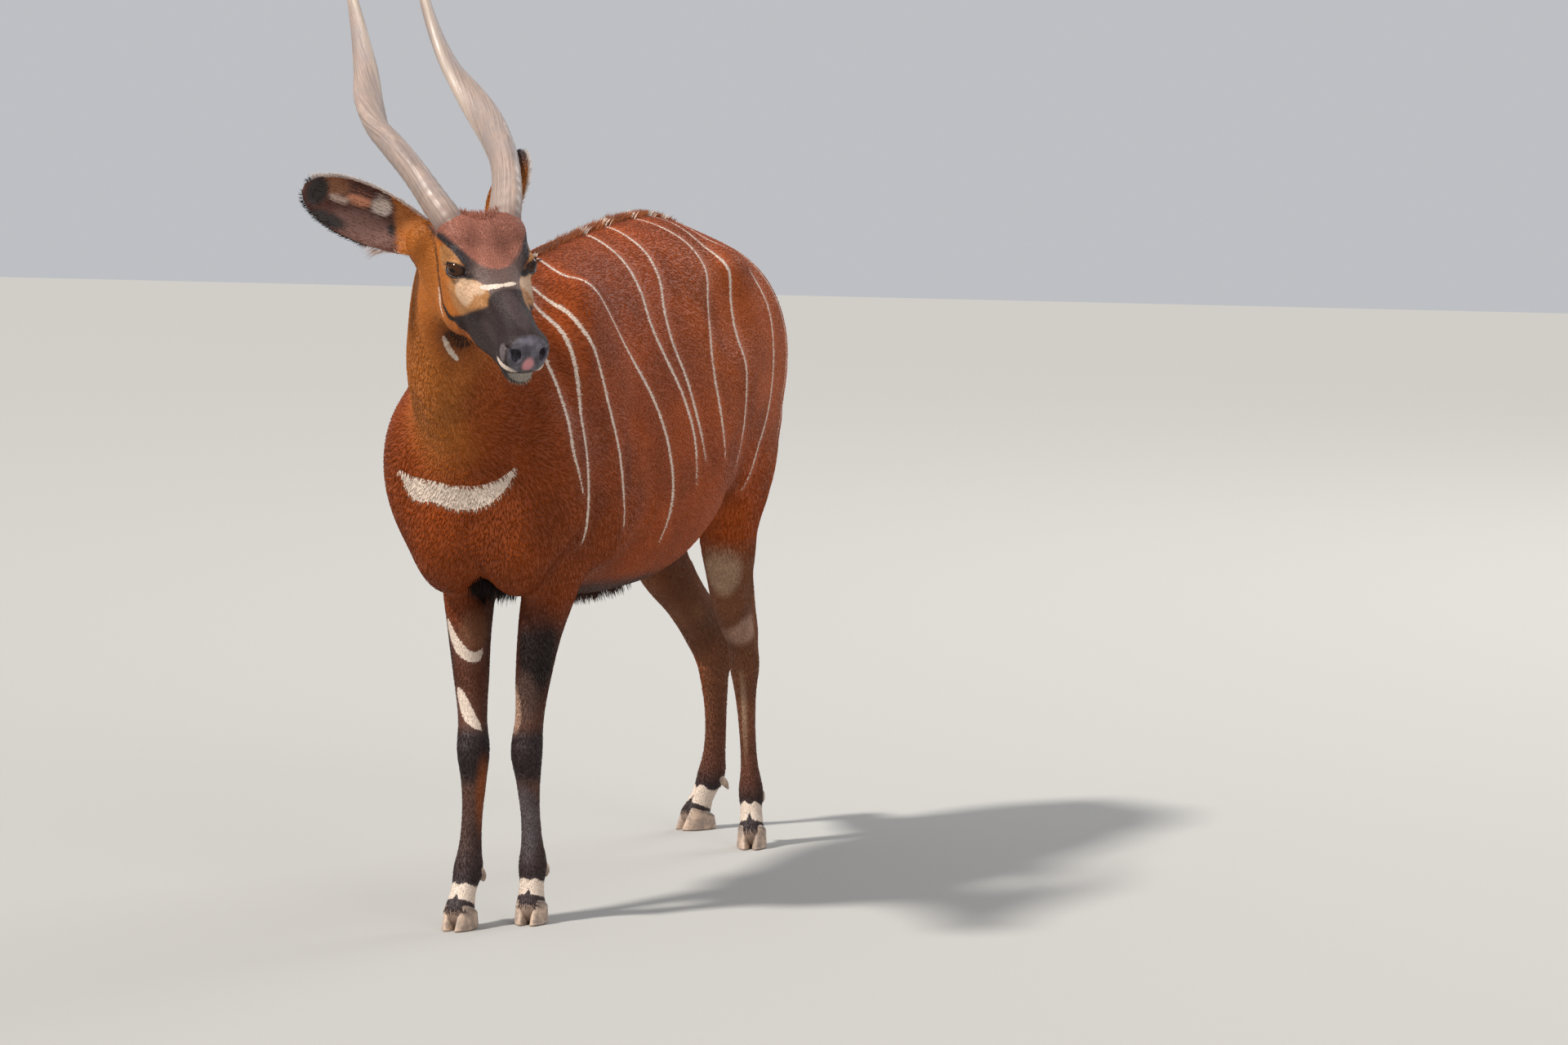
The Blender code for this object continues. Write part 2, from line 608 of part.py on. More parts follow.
def surface_net(values, low, step):
    """One vertex in each cell that the surface crosses, and one quad for each crossed grid edge."""
    inside = values < 0
    corner = [(i, j, k) for i in (0, 1) for j in (0, 1) for k in (0, 1)]
    size = [n - 1 for n in values.shape]
    count = np.zeros(size, np.int8)
    for i, j, k in corner:
        count += inside[i : i + size[0], j : j + size[1], k : k + size[2]]
    cells = np.argwhere((count > 0) & (count < 8))
    number = np.full(size, -1)
    number[tuple(cells.T)] = np.arange(len(cells))
    total = np.zeros((len(cells), 3))
    crossings = np.zeros(len(cells))
    for a in corner:
        for axis in range(3):
            if a[axis]:
                continue
            b = np.array(a)
            b[axis] = 1
            va = values[tuple((cells + a).T)]
            vb = values[tuple((cells + b).T)]
            cross = (va < 0) != (vb < 0)
            place = np.tile(np.array(a, float), (len(cells), 1))
            place[:, axis] = va / np.where(cross, va - vb, 1.0)
            total[cross] += place[cross]
            crossings += cross
    vertices = np.array(low) + step * (cells + total / crossings[:, None])
    faces = []
    for axis in range(3):
        one, two = (axis + 1) % 3, (axis + 2) % 3
        a = np.take(inside, range(values.shape[axis] - 1), axis)
        b = np.take(inside, range(1, values.shape[axis]), axis)
        points = np.argwhere(a != b)
        keep = (points[:, one] > 0) & (points[:, two] > 0)
        keep &= (points[:, one] < size[one]) & (points[:, two] < size[two])
        points = points[keep]
        e1, e2 = np.eye(3, dtype=int)[[one, two]]
        quad = [points, points - e1, points - e1 - e2, points - e2]
        quad = np.stack([number[tuple(p.T)] for p in quad], 1)
        turned = ~a[tuple(points.T)]
        quad[turned] = quad[turned][:, ::-1]
        faces.append(quad)
    return vertices, np.concatenate(faces)[:, ::-1]


def settle(field, vertices, rounds=2, nudge=0.0006):
    """Moves vertices onto the surface by Newton steps."""
    for _ in range(rounds):
        value = field(vertices)
        slope = np.zeros_like(vertices)
        for axis in range(3):
            step = np.zeros(3)
            step[axis] = nudge
            slope[:, axis] = (field(vertices + step) - value) / nudge
        square = np.maximum(np.einsum("ij,ij->i", slope, slope), 0.2)
        vertices = vertices - slope * (value / square)[:, None]
    return vertices


# Objects


def material(name, colour, roughness):
    made = bpy.data.materials.new(name)
    made.use_nodes = True
    shader = made.node_tree.nodes["Principled BSDF"]
    shader.inputs["Base Color"].default_value = (*colour, 1.0)
    shader.inputs["Roughness"].default_value = roughness
    shader.inputs["Metallic"].default_value = 0.0
    return made


def mesh_object(name, vertices, faces):
    mesh = bpy.data.meshes.new(name)
    mesh.from_pydata([tuple(v) for v in vertices], [], [tuple(f) for f in faces])
    mesh.update()
    made = bpy.data.objects.new(name, mesh)
    bpy.context.scene.collection.objects.link(made)
    return made


def apply_modifiers(obj):
    """Replaces the object's mesh with its evaluated one."""
    graph = bpy.context.evaluated_depsgraph_get()
    mesh = bpy.data.meshes.new_from_object(obj.evaluated_get(graph))
    obj.modifiers.clear()
    obj.data = mesh


def is_closed(bm):
    return all(e.is_manifold for e in bm.edges) and all(v.is_manifold for v in bm.verts)


def field_object(name, field, low, high, step, triangles):
    """The part of the field inside a box as a closed mesh of about that many triangles."""
    values = untangle(sample(field, low, high, step), step)
    vertices, faces = surface_net(values, low, step)
    margin = 2 * step
    inner = np.all((vertices > np.array(low) + margin) & (vertices < np.array(high) - margin), axis=1)
    vertices[inner] = settle(field, vertices[inner])
    obj = mesh_object(name, vertices, faces)
    keep_largest(obj)
    thin = obj.modifiers.new("Thin", "DECIMATE")
    thin.ratio = triangles / (2 * len(obj.data.polygons))
    thin.use_collapse_triangulate = True
    apply_modifiers(obj)
    return obj


def islands(mesh):
    """The mesh's separate surfaces, as lists of face numbers, largest first."""
    bm = bmesh.new()
    bm.from_mesh(mesh)
    bm.faces.ensure_lookup_table()
    seen, found = set(), []
    for first in bm.faces:
        if first.index in seen:
            continue
        seen.add(first.index)
        group, queue = [], [first]
        while queue:
            face = queue.pop()
            group.append(face.index)
            for edge in face.edges:
                for other in edge.link_faces:
                    if other.index not in seen:
                        seen.add(other.index)
                        queue.append(other)
        found.append(group)
    bm.free()
    return sorted(found, key=len, reverse=True)


def keep_faces(mesh, numbers):
    bm = bmesh.new()
    bm.from_mesh(mesh)
    keep = set(numbers)
    doomed = [f for f in bm.faces if f.index not in keep]
    bmesh.ops.delete(bm, geom=doomed, context="FACES")
    bm.to_mesh(mesh)
    bm.free()


def keep_largest(obj):
    groups = islands(obj.data)
    if len(groups) > 1:
        keep_faces(obj.data, groups[0])


def boolean(obj, others, operation, solver="EXACT", largest=True):
    """Joins or cuts obj with closed mesh objects, which are then removed. The largest piece is kept."""
    group = bpy.data.collections.new("Pieces")
    bpy.context.scene.collection.children.link(group)
    for other in others:
        group.objects.link(other)
    modifier = obj.modifiers.new("Boolean", "BOOLEAN")
    modifier.operation = operation
    modifier.operand_type = "COLLECTION"
    modifier.collection = group
    modifier.solver = solver
    apply_modifiers(obj)
    for other in others:
        bpy.data.objects.remove(other)
    bpy.data.collections.remove(group)
    if largest:
        keep_largest(obj)
        weld(obj)


def weld(obj):
    """Closes up edges too short to build, if the mesh stays closed."""
    bm = bmesh.new()
    bm.from_mesh(obj.data)
    bmesh.ops.dissolve_degenerate(bm, dist=SHORTEST_EDGE, edges=bm.edges)
    bmesh.ops.triangulate(bm, faces=[f for f in bm.faces if len(f.verts) > 4])
    if is_closed(bm):
        bm.to_mesh(obj.data)
    bm.free()


def grown(obj):
    """A copy of obj swollen by the gap, to cut a neighbour's face against it."""
    copy = obj.copy()
    copy.data = obj.data.copy()
    bpy.context.scene.collection.objects.link(copy)
    normals = [v.normal.copy() for v in copy.data.vertices]
    for vertex, normal in zip(copy.data.vertices, normals):
        vertex.co += normal * GAP
    return copy


def block(centre, normal, size, thickness):
    """A plate on a plane, reaching thickness along its normal. size is given across X, then along."""
    up = unit(normal)
    side = unit(np.array((1.0, 0.0, 0.0)) - up[0] * up)
    turn = np.array((side, np.cross(up, side), up)).T
    corners = np.array([(i, j, k) for i in (-0.5, 0.5) for j in (-0.5, 0.5) for k in (0.0, 1.0)])
    corners = corners * (*size, thickness) @ turn.T + np.array(centre)
    faces = ((0, 1, 3, 2), (4, 6, 7, 5), (0, 4, 5, 1), (2, 3, 7, 6), (0, 2, 6, 4), (1, 5, 7, 3))
    return mesh_object("block", corners, faces)


def lofted(name, rings):
    """A closed mesh strung over rings of points, with flat ends."""
    rings = np.asarray(rings)
    count, width = rings.shape[:2]
    faces = [tuple(range(width))[::-1], tuple(range((count - 1) * width, count * width))]
    for i in range(count - 1):
        for j in range(width):
            k = (j + 1) % width
            faces.append((i * width + j, i * width + k, (i + 1) * width + k, (i + 1) * width + j))
    made = mesh_object(name, rings.reshape(-1, 3), faces)
    bm = bmesh.new()
    bm.from_mesh(made.data)
    bmesh.ops.recalc_face_normals(bm, faces=bm.faces)
    bm.to_mesh(made.data)
    bm.free()
    return made


def horn(side, around=14, along=26):
    """One horn. side is +1 for the left and -1 for the right."""
    table = hermite_table(HORN, along)
    way = unit(HORN_DIRECTION)
    rise = unit(np.cross((0, 1, 0), way))
    rise = rise * np.sign(rise[2])
    spine = np.array(HORN_BASE) + table[:, :1] * way + table[:, 2:3] * rise
    spine = spine + side * table[:, 1:2] * np.array((0, 1.0, 0))
    axis = np.gradient(spine, axis=0)
    angles = side * 2 * math.pi * np.arange(around) / around
    keel = 1.0 + HORN_KEEL * np.maximum(np.cos(angles), 0.0) ** 4
    rings = []
    for i, (centre, row) in enumerate(zip(spine, table)):
        out = unit(np.array((0, side, 0)) - axis[i, 1] * side * axis[i] / (axis[i] @ axis[i]))
        over = side * np.cross(unit(axis[i]), out)
        turn = math.radians(row[4])
        long_way = math.cos(turn) * out + math.sin(turn) * over
        short_way = math.cos(turn) * over - math.sin(turn) * out
        wide = np.cos(angles)[:, None] * HORN_OVAL * long_way
        flat = np.sin(angles)[:, None] / HORN_OVAL * short_way
        rings.append(from_head(centre + row[3] * keel[:, None] * (wide + flat)))
    return lofted("horn_left" if side > 0 else "horn_right", rings)


def ear(name, around=9, along=16):
    """A cupped blade on a round stalk."""
    root, way, opening = (np.array(v) for v in EARS[name])
    length = np.linalg.norm(way)
    axis = unit(way)
    opening = unit(opening - (opening @ axis) * axis)
    side = np.cross(axis, opening)
    sweep = np.linspace(-1.0, 1.0, around)
    table = hermite_table(EAR, along)
    rings = []
    for share, half, depth, hollow in table:
        half = max(half, 0.004)
        across = half * np.sin(0.5 * math.pi * sweep)
        back = -depth * np.cos(0.5 * math.pi * sweep)
        lip = 0.0022 * min(1.0, half / 0.02)
        outer = np.stack([across, back - lip], 1)
        inner = np.stack([across * (1 - lip / half), back * hollow + lip], 1)[::-1]
        ring = np.concatenate([outer, inner])
        centre = root + axis * length * share
        rings.append(from_head(centre + ring[:, :1] * side + ring[:, 1:] * opening))
    return lofted(name, rings)


def limb(name, stations, side, around=10, along=18, start=0.0, end=1.0):
    """A lofted limb of oval sections, between two shares of its stations."""
    rows = np.array(stations, float)
    length = np.r_[0, np.cumsum(np.linalg.norm(np.diff(rows[:, :3], axis=0), axis=1))]
    table = hermite_table(np.c_[length, rows], along)
    axis = np.gradient(table[:, 1:4], axis=0)
    first, last = int(start * (along - 1)), int(end * (along - 1))
    angles = 2 * math.pi * np.arange(around) / around
    rings = []
    for i in range(first, last + 1):
        way = unit(axis[i])
        wide = unit(np.array(side) - way * (way @ np.array(side)))
        deep = np.cross(way, wide)
        ring = table[i, 4] * np.cos(angles)[:, None] * wide + table[i, 5] * np.sin(angles)[:, None] * deep
        rings.append(table[i, 1:4] + ring)
    return lofted(name, rings)


def eyeball(name, side, grow=0.0):
    bm = bmesh.new()
    bmesh.ops.create_icosphere(bm, subdivisions=3, radius=(EYE_RADIUS * HEAD_SIZE - GAP) + grow)
    centre = from_head(np.array(EYE_CENTRE) * (1, side, 1))
    bmesh.ops.translate(bm, vec=centre, verts=bm.verts)
    mesh = bpy.data.meshes.new(name)
    bm.to_mesh(mesh)
    bm.free()
    made = bpy.data.objects.new(name, mesh)
    bpy.context.scene.collection.objects.link(made)
    return made


def claw(name, leg, side, around=14):
    """One claw of a cloven hoof: flat at the sole and along the cleft, its toe to the front."""
    stations = leg_stations(leg, FORELEG if leg.startswith("front") else HINDLEG)
    x, y = stations[-1, :2]
    turn = turned(stations[-1, 5])
    angles = 2 * math.pi * np.arange(around) / around
    rings = []
    for height, wide, long, back in CLAW:
        across = CLAW_HALF_WIDTH * wide * (1 + np.cos(angles))
        ahead = CLAW_HALF_LENGTH * (long * np.sin(angles) - back)
        taper = 1.0 - 0.30 * np.maximum(ahead / CLAW_HALF_LENGTH, 0.0) ** 2
        if height < 0.1:
            rise = np.full(around, height)
        else:
            rise = height * (CORONET_HEIGHT + CORONET_SLOPE * ahead - GAP)
        plan = np.stack([side * (CLEFT + across * taper), -ahead], 1) @ turn.T
        rings.append(np.c_[plan + (x, y), rise])
    return lofted(name, rings)


def dewclaw(leg, side, around=8):
    """A blunt little claw behind the fetlock."""
    height, behind, aside = DEWCLAW_PLACE
    stations = leg_stations(leg, FORELEG if leg.startswith("front") else HINDLEG)[::-1]
    x, y, degrees = (np.interp(height, stations[:, 2], stations[:, c]) for c in (0, 1, 5))
    turn = turned(degrees)
    angles = 2 * math.pi * np.arange(around) / around
    rings = []
    for out, drop, radius in DEWCLAW:
        plan = np.stack([side * aside + radius * np.cos(angles), np.full(around, behind + out)], 1)
        rise = height - drop + radius * np.sin(angles)
        rings.append(np.c_[plan @ turn.T + (x, y), rise])
    return lofted("dewclaw", rings)


def lock(root, lie, bend, length, width, thickness, facing):
    """A flat hair lock that tapers to its tip and bends along the way. facing is across its flat."""
    root, lie, bend = (np.array(v, float) for v in (root, lie, bend))
    rings = []
    for share, spread in ((0.0, 0.75), (0.35, 1.0), (0.7, 0.72), (1.0, 0.12)):
        centre = root + length * (share * lie + share**2 * bend)
        way = unit(lie + 2 * share * bend)
        across = unit(np.cross(way, facing))
        up = np.cross(across, way)
        half, thin = width * spread / 2, thickness * (1.0 - 0.6 * share) / 2
        rings.append([centre + half * across, centre + thin * up, centre - half * across, centre - thin * up])
    return lofted("lock", rings)


def parted(obj, cuts, anchors):
    """Cuts a solid by thin plates and names each piece after the anchor that lies nearest to it."""
    boolean(obj, cuts, "DIFFERENCE", largest=False)
    groups = islands(obj.data)[: len(anchors)]
    centres = []
    for group in groups:
        rows = [obj.data.polygons[i].center for i in group]
        centres.append(np.mean([tuple(r) for r in rows], axis=0))
    made = {}
    for name, anchor in anchors.items():
        away = [np.linalg.norm(c - np.array(anchor)) for c in centres]
        copy = obj.copy()
        copy.data = obj.data.copy()
        copy.name = name
        bpy.context.scene.collection.objects.link(copy)
        keep_faces(copy.data, groups[int(np.argmin(away))])
        made[name] = copy
    bpy.data.objects.remove(obj)
    return made


def fitted(obj, body):
    """Cuts away what lies inside the body, so that the two meet face to face."""
    boolean(obj, [grown(body)], "DIFFERENCE")
    return obj


def coronet_cut(leg):
    """A plate along a leg's coronet that takes off everything under it."""
    stations = leg_stations(leg, FORELEG if leg.startswith("front") else HINDLEG)
    x, y = stations[-1, :2]
    ahead = turned(stations[-1, 5]) @ np.array((0.0, -1.0))
    down = np.array((*(ahead * CORONET_SLOPE), -1.0))
    return block((x, y, CORONET_HEIGHT), down, (0.16, 0.16), 0.08)


def crest_locks():
    """Short erect hair from the withers to the croup, one row of locks that lean back."""
    draw = np.random.default_rng(CREST_SEED)
    first, last = CREST_RANGE
    table = hermite_table(TRUNK, 160)
    locks = []
    for y in np.linspace(first, last, CREST_LOCKS):
        z = np.interp(y, table[:, 0], table[:, 1])
        share = math.sin(math.pi * (y - first + 0.03) / (last - first + 0.06))
        height = CREST_HEIGHT * (0.6 + 0.4 * share) * draw.uniform(0.9, 1.1)
        root = (draw.uniform(-0.002, 0.002), y - 0.5 * height, z - CREST_DEPTH)
        lie = unit((draw.uniform(-0.05, 0.05), 0.42, 0.9))
        locks.append(
            lock(root, lie, (0, 0.22, -0.05), height + CREST_DEPTH, 2.6 * CREST_SPACING, 0.012, (1, 0, 0))
        )
    return locks


def tuft_locks():
    """The dark tuft of the tail: locks that hang from its end and gather to a point."""
    draw = np.random.default_rng(TUFT_SEED)
    x, y, z = TAIL[-1][:3]
    locks = []
    for ring, count, radius, length in TUFT_RINGS:
        for i in range(count):
            angle = 2 * math.pi * (i + 0.5 * (ring % 2)) / count
            out = np.array((math.cos(angle), math.sin(angle), 0.0))
            root = np.array((x, y, z + 0.055 - 0.05 * ring)) + 0.35 * radius * out
            lie = unit(out * 0.20 + np.array((0, 0, -1.0)))
            size = length * draw.uniform(0.92, 1.06)
            locks.append(lock(root, lie, -0.24 * out, size, 0.026, 0.010, out))
    return locks


def finish(nodes):
    """Shifts the nodes to the part's frame, names them and gives each its own material."""
    root = bpy.data.objects.new("bongo", None)
    bpy.context.scene.collection.objects.link(root)
    for name, obj in nodes.items():
        obj.name = name
        obj.data.name = name
        obj.data.transform(Matrix.Translation(ORIGIN_SHIFT))
        kind = next(k for k in COLOURS if k in name)
        colour, roughness = COLOURS[kind]
        obj.data.materials.clear()
        obj.data.materials.append(material(name, colour, roughness))
        smooth = kind not in FLAT_KINDS
        obj.data.shade_smooth() if smooth else obj.data.shade_flat()
        obj.parent = root


def main():
    for obj in list(bpy.data.objects):
        bpy.data.objects.remove(obj)
    flesh = Flesh()
    body = field_object(
        "body", flesh, (-0.36, -1.28, -0.02), (0.42, 0.92, 1.52), BODY_STEP, BODY_TRIANGLES
    )
    head = field_object(
        "head", flesh, (-0.14, -1.28, 1.00), (0.44, -0.60, 1.50), HEAD_STEP, HEAD_TRIANGLES
    )
    nape = from_head(NAPE)
    behind = -HEAD_AXES @ unit(NAPE_NORMAL)
    boolean(head, [block(nape, behind, (1.6, 1.6), 0.6)], "DIFFERENCE")
    boolean(body, [block(nape + behind * GAP, -behind, (1.6, 1.6), 0.8)], "DIFFERENCE")
    cuts = [block(*plate, GAP) for plate in PLATES]
    cuts += [coronet_cut(leg) for leg in STANCES]
    nodes = parted(body, cuts, ANCHORS)
    nodes["head"] = head
    for side, name in ((1, "eye_left"), (-1, "eye_right")):
        boolean(head, [eyeball(name, side, GAP)], "DIFFERENCE")
        nodes[name] = eyeball(name, side)
    for side, name in ((1, "horn_left"), (-1, "horn_right")):
        nodes[name] = fitted(horn(side), head)
    for name in EARS:
        nodes[name] = fitted(fitted(ear(name), head), nodes[name.replace("ear", "horn")])
    for leg in STANCES:
        for side, part in ((1, "left"), (-1, "right")):
            name = "claw_" + leg + "_" + part
            nodes[name] = claw(name, leg, side)
        limb_name = leg.replace("front", "foreleg").replace("hind", "hindleg")
        boolean(nodes[limb_name], [dewclaw(leg, side) for side in (1, -1)], "UNION")
    tail = fitted(limb("tail", TAIL, (1, 0, 0)), nodes["torso"])
    nodes["tail"] = tail
    tuft_top = TAIL[-1][2] + TUFT_OVERLAP
    tuft = limb("tail_tuft", TAIL, (1, 0, 0))
    boolean(tuft, tuft_locks(), "UNION")
    boolean(tail, [block((0, 0.7, tuft_top + GAP), (0, 0, -1), (0.5, 0.5), 0.5)], "DIFFERENCE")
    boolean(tuft, [block((0, 0.7, tuft_top), (0, 0, 1), (0.8, 0.8), 1.0)], "DIFFERENCE")
    nodes["tail_tuft"] = tuft
    locks = crest_locks()
    crest = locks[0]
    crest.name = "crest"
    boolean(crest, locks[1:], "UNION")
    nodes["crest"] = fitted(crest, nodes["torso"])
    finish(nodes)


if __name__ == "__main__":
    main()
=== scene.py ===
"""Bongo antelope bull: one skin under a short coat, with horns, ears, eyes, hooves and long hair."""

import math

import bmesh
import bpy
import numpy as np
from mathutils import Matrix, Vector


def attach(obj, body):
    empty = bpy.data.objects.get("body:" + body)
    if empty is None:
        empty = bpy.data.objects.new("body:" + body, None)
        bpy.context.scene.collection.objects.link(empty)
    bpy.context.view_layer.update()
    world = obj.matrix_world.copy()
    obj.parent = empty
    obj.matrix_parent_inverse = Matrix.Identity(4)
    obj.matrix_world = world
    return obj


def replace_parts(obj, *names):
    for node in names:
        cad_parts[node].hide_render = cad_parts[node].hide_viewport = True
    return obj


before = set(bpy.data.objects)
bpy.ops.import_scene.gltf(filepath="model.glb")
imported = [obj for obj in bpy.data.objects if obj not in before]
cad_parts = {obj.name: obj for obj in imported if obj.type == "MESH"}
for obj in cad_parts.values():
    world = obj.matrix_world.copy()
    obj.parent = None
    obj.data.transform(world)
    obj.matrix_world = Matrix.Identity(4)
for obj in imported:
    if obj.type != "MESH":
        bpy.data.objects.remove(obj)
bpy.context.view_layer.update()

# Shift from the drawing frame to the part's frame
ORIGIN_SHIFT = (-0.0131, 0.1128, 0.0)

# Cells of the grid on the body and on the head, and the gap between neighbouring parts
BODY_GRID = 0.0060
HEAD_GRID = 0.0024
GAP = 0.0003
# Corners of the boxes that hold the body's grid and the head's
BODY_BOX = ((-0.36, -1.28, -0.02), (0.42, 0.92, 1.52))
HEAD_BOX = ((-0.16, -1.28, 0.94), (0.46, -0.50, 1.52))
# Lengths below this count as none
TINY = 1e-6

# Trunk stations from chest to rump: y, back height, belly height, half width,
# share of the height where it is widest, roundness above and below that
TRUNK = (
    (-0.520, 1.125, 0.670, 0.145, 0.42, 2.0, 2.0),
    (-0.400, 1.235, 0.618, 0.180, 0.42, 1.9, 2.1),
    (-0.250, 1.272, 0.600, 0.203, 0.42, 1.8, 2.1),
    (-0.080, 1.292, 0.592, 0.222, 0.42, 1.8, 2.2),
    (0.100, 1.308, 0.610, 0.236, 0.43, 1.85, 2.2),
    (0.260, 1.306, 0.695, 0.222, 0.45, 1.85, 2.2),
    (0.400, 1.275, 0.770, 0.185, 0.50, 1.85, 2.1),
    (0.520, 1.210, 0.830, 0.147, 0.55, 1.85, 2.0),
    (0.620, 1.125, 0.880, 0.106, 0.58, 1.9, 2.0),
)
# How far the chest leans to the right, and between which two y it comes in
CHEST_SWAY = (-0.014, -0.500, -0.100)
TRUNK_CAPS = (0.100, 0.080)

# Muscles and bones of the trunk, alike on both sides: centre, radii, lean about X in degrees, blend
TRUNK_FORMS = (
    ((0.115, -0.400, 1.010), (0.060, 0.110, 0.210), -18, 0.080),
    ((0.150, -0.370, 0.810), (0.055, 0.105, 0.130), 20, 0.070),
    ((0.128, -0.530, 0.860), (0.066, 0.085, 0.140), 15, 0.070),
    ((0.070, -0.545, 0.735), (0.066, 0.070, 0.105), 10, 0.060),
    ((0.085, 0.440, 1.070), (0.092, 0.190, 0.150), -18, 0.080),
    ((0.090, 0.520, 0.895), (0.068, 0.125, 0.215), 10, 0.090),
    ((0.132, 0.310, 1.190), (0.035, 0.050, 0.034), 0, 0.060),
    ((0.126, 0.385, 0.860), (0.056, 0.100, 0.210), 6, 0.070),
    ((0.112, 0.320, 0.790), (0.042, 0.090, 0.050), -30, 0.070),
)
FLANK_HOLLOW = ((0.235, 0.205, 1.130), (0.050, 0.085, 0.060), 0, 0.070)

# Neck from the chest to the nape: x, y, z, half width, half depth
NECK = (
    (-0.008, -0.400, 0.950, 0.120, 0.262),
    (-0.014, -0.520, 1.035, 0.116, 0.222),
    (-0.016, -0.610, 1.102, 0.104, 0.180),
    (0.006, -0.690, 1.168, 0.090, 0.143),
    (0.030, -0.750, 1.222, 0.081, 0.115),
    (0.055, -0.800, 1.268, 0.072, 0.092),
)

# The head is drawn about its own axes: f towards the nose, l towards its left, u out of the forehead
HEAD_ORIGIN = (0.061, -0.800, 1.311)
HEAD_YAW = 44.5
HEAD_PITCH = 29.5
HEAD_ROLL = 2.2
HEAD_SIZE = 0.99
# The head's middle about its own axes, and how far from it its thin coat and its colours reach
HEAD_MIDDLE = (0.17, 0.0, -0.02)
COAT_REACH = 0.33
COLOUR_REACH = 0.34

# Skull stations from nape to nose: f, top, bottom, half width, share of the widest height, roundness
SKULL = (
    (-0.020, 0.046, -0.055, 0.050, 0.50, 2.0, 2.0),
    (0.030, 0.067, -0.078, 0.064, 0.52, 2.2, 2.0),
    (0.080, 0.077, -0.082, 0.071, 0.56, 2.4, 2.0),
    (0.140, 0.076, -0.082, 0.072, 0.58, 2.5, 2.0),
    (0.200, 0.068, -0.076, 0.060, 0.56, 2.3, 2.0),
    (0.260, 0.057, -0.066, 0.047, 0.52, 2.2, 2.1),
    (0.320, 0.046, -0.055, 0.040, 0.50, 2.2, 2.2),
    (0.368, 0.038, -0.046, 0.040, 0.50, 2.2, 2.2),
)
SKULL_CAPS = (0.030, 0.034)
JAW = (
    (0.060, 0.000, -0.112, 0.046, 0.50, 2.0, 2.2),
    (0.120, 0.000, -0.120, 0.048, 0.50, 2.0, 2.4),
    (0.200, -0.010, -0.106, 0.038, 0.50, 2.0, 2.4),
    (0.280, -0.020, -0.084, 0.031, 0.50, 2.0, 2.2),
    (0.350, -0.026, -0.070, 0.029, 0.50, 2.0, 2.2),
)
JAW_CAPS = (0.040, 0.026)
# Forms of the head, alike on both sides: cheek, horn boss, forehead, ear root, brow, eye surround, muzzle
# and chin, each with centre (f, l, u), radii, blend
HEAD_FORMS = (
    ((0.115, 0.040, -0.062), (0.062, 0.026, 0.050), 0.020),
    ((0.092, 0.045, 0.069), (0.050, 0.038, 0.038), 0.018),
    ((0.100, 0.000, 0.064), (0.050, 0.034, 0.038), 0.022),
    ((0.010, 0.072, 0.006), (0.034, 0.040, 0.046), 0.034),
    ((0.140, 0.056, 0.060), (0.040, 0.022, 0.016), 0.014),
    ((0.160, 0.050, 0.030), (0.044, 0.023, 0.032), 0.014),
    ((0.200, 0.046, 0.008), (0.050, 0.020, 0.022), 0.020),
    ((0.368, 0.020, 0.002), (0.030, 0.024, 0.028), 0.014),
    ((0.352, 0.024, -0.028), (0.036, 0.018, 0.018), 0.012),
    ((0.352, 0.000, -0.060), (0.030, 0.024, 0.016), 0.012),
)
NOSTRIL = ((0.390, 0.024, 0.004), (0.013, 0.007, 0.012), 0.006)
# Parting of the lips from the front to the corner of the mouth: f, l, u, half width, half depth
MOUTH_LINE = (
    (0.396, 0.000, -0.036, 0.004, 0.004),
    (0.384, 0.024, -0.042, 0.004, 0.004),
    (0.345, 0.043, -0.046, 0.004, 0.004),
    (0.300, 0.042, -0.048, 0.003, 0.003),
)

# Eyeball and lids about the head's axes. The lids' opening has a half length, a half height and a slant
EYE_CENTRE = (0.1615, 0.0640, 0.0440)
EYE_RADIUS = 0.0210
EYE_OUTWARD = (0.60, 0.775, 0.20)
LID_THICKNESS = 0.0036
LID_OPENING = (0.0200, 0.0098)
LID_SLANT = 0.12

# Legs, foot upwards in the order drawn: y, z, half width, half depth; x is set by the leg's own stance
FORELEG = (
    (-0.400, 0.740, 0.060, 0.100),
    (-0.432, 0.640, 0.048, 0.076),
    (-0.450, 0.560, 0.039, 0.060),
    (-0.460, 0.470, 0.032, 0.045),
    (-0.468, 0.385, 0.027, 0.033),
    (-0.474, 0.330, 0.030, 0.037),
    (-0.468, 0.280, 0.024, 0.030),
    (-0.464, 0.200, 0.0185, 0.0250),
    (-0.464, 0.145, 0.0215, 0.0280),
    (-0.466, 0.112, 0.027, 0.033),
    (-0.480, 0.075, 0.024, 0.026),
    (-0.494, 0.030, 0.029, 0.034),
)
HINDLEG = (
    (0.450, 0.900, 0.068, 0.155),
    (0.430, 0.780, 0.061, 0.132),
    (0.420, 0.700, 0.054, 0.112),
    (0.452, 0.600, 0.045, 0.084),
    (0.515, 0.505, 0.035, 0.056),
    (0.580, 0.425, 0.0300, 0.045),
    (0.602, 0.375, 0.0300, 0.043),
    (0.602, 0.315, 0.0225, 0.032),
    (0.598, 0.235, 0.0175, 0.0250),
    (0.597, 0.155, 0.0195, 0.0265),
    (0.596, 0.115, 0.0255, 0.031),
    (0.582, 0.075, 0.023, 0.025),
    (0.568, 0.030, 0.028, 0.033),
)
# Point of the hock and the tendon above it: y, z, half width, half depth
HEEL = (
    (0.555, 0.565, 0.014, 0.022),
    (0.605, 0.492, 0.014, 0.022),
    (0.645, 0.425, 0.017, 0.020),
    (0.634, 0.365, 0.017, 0.020),
)
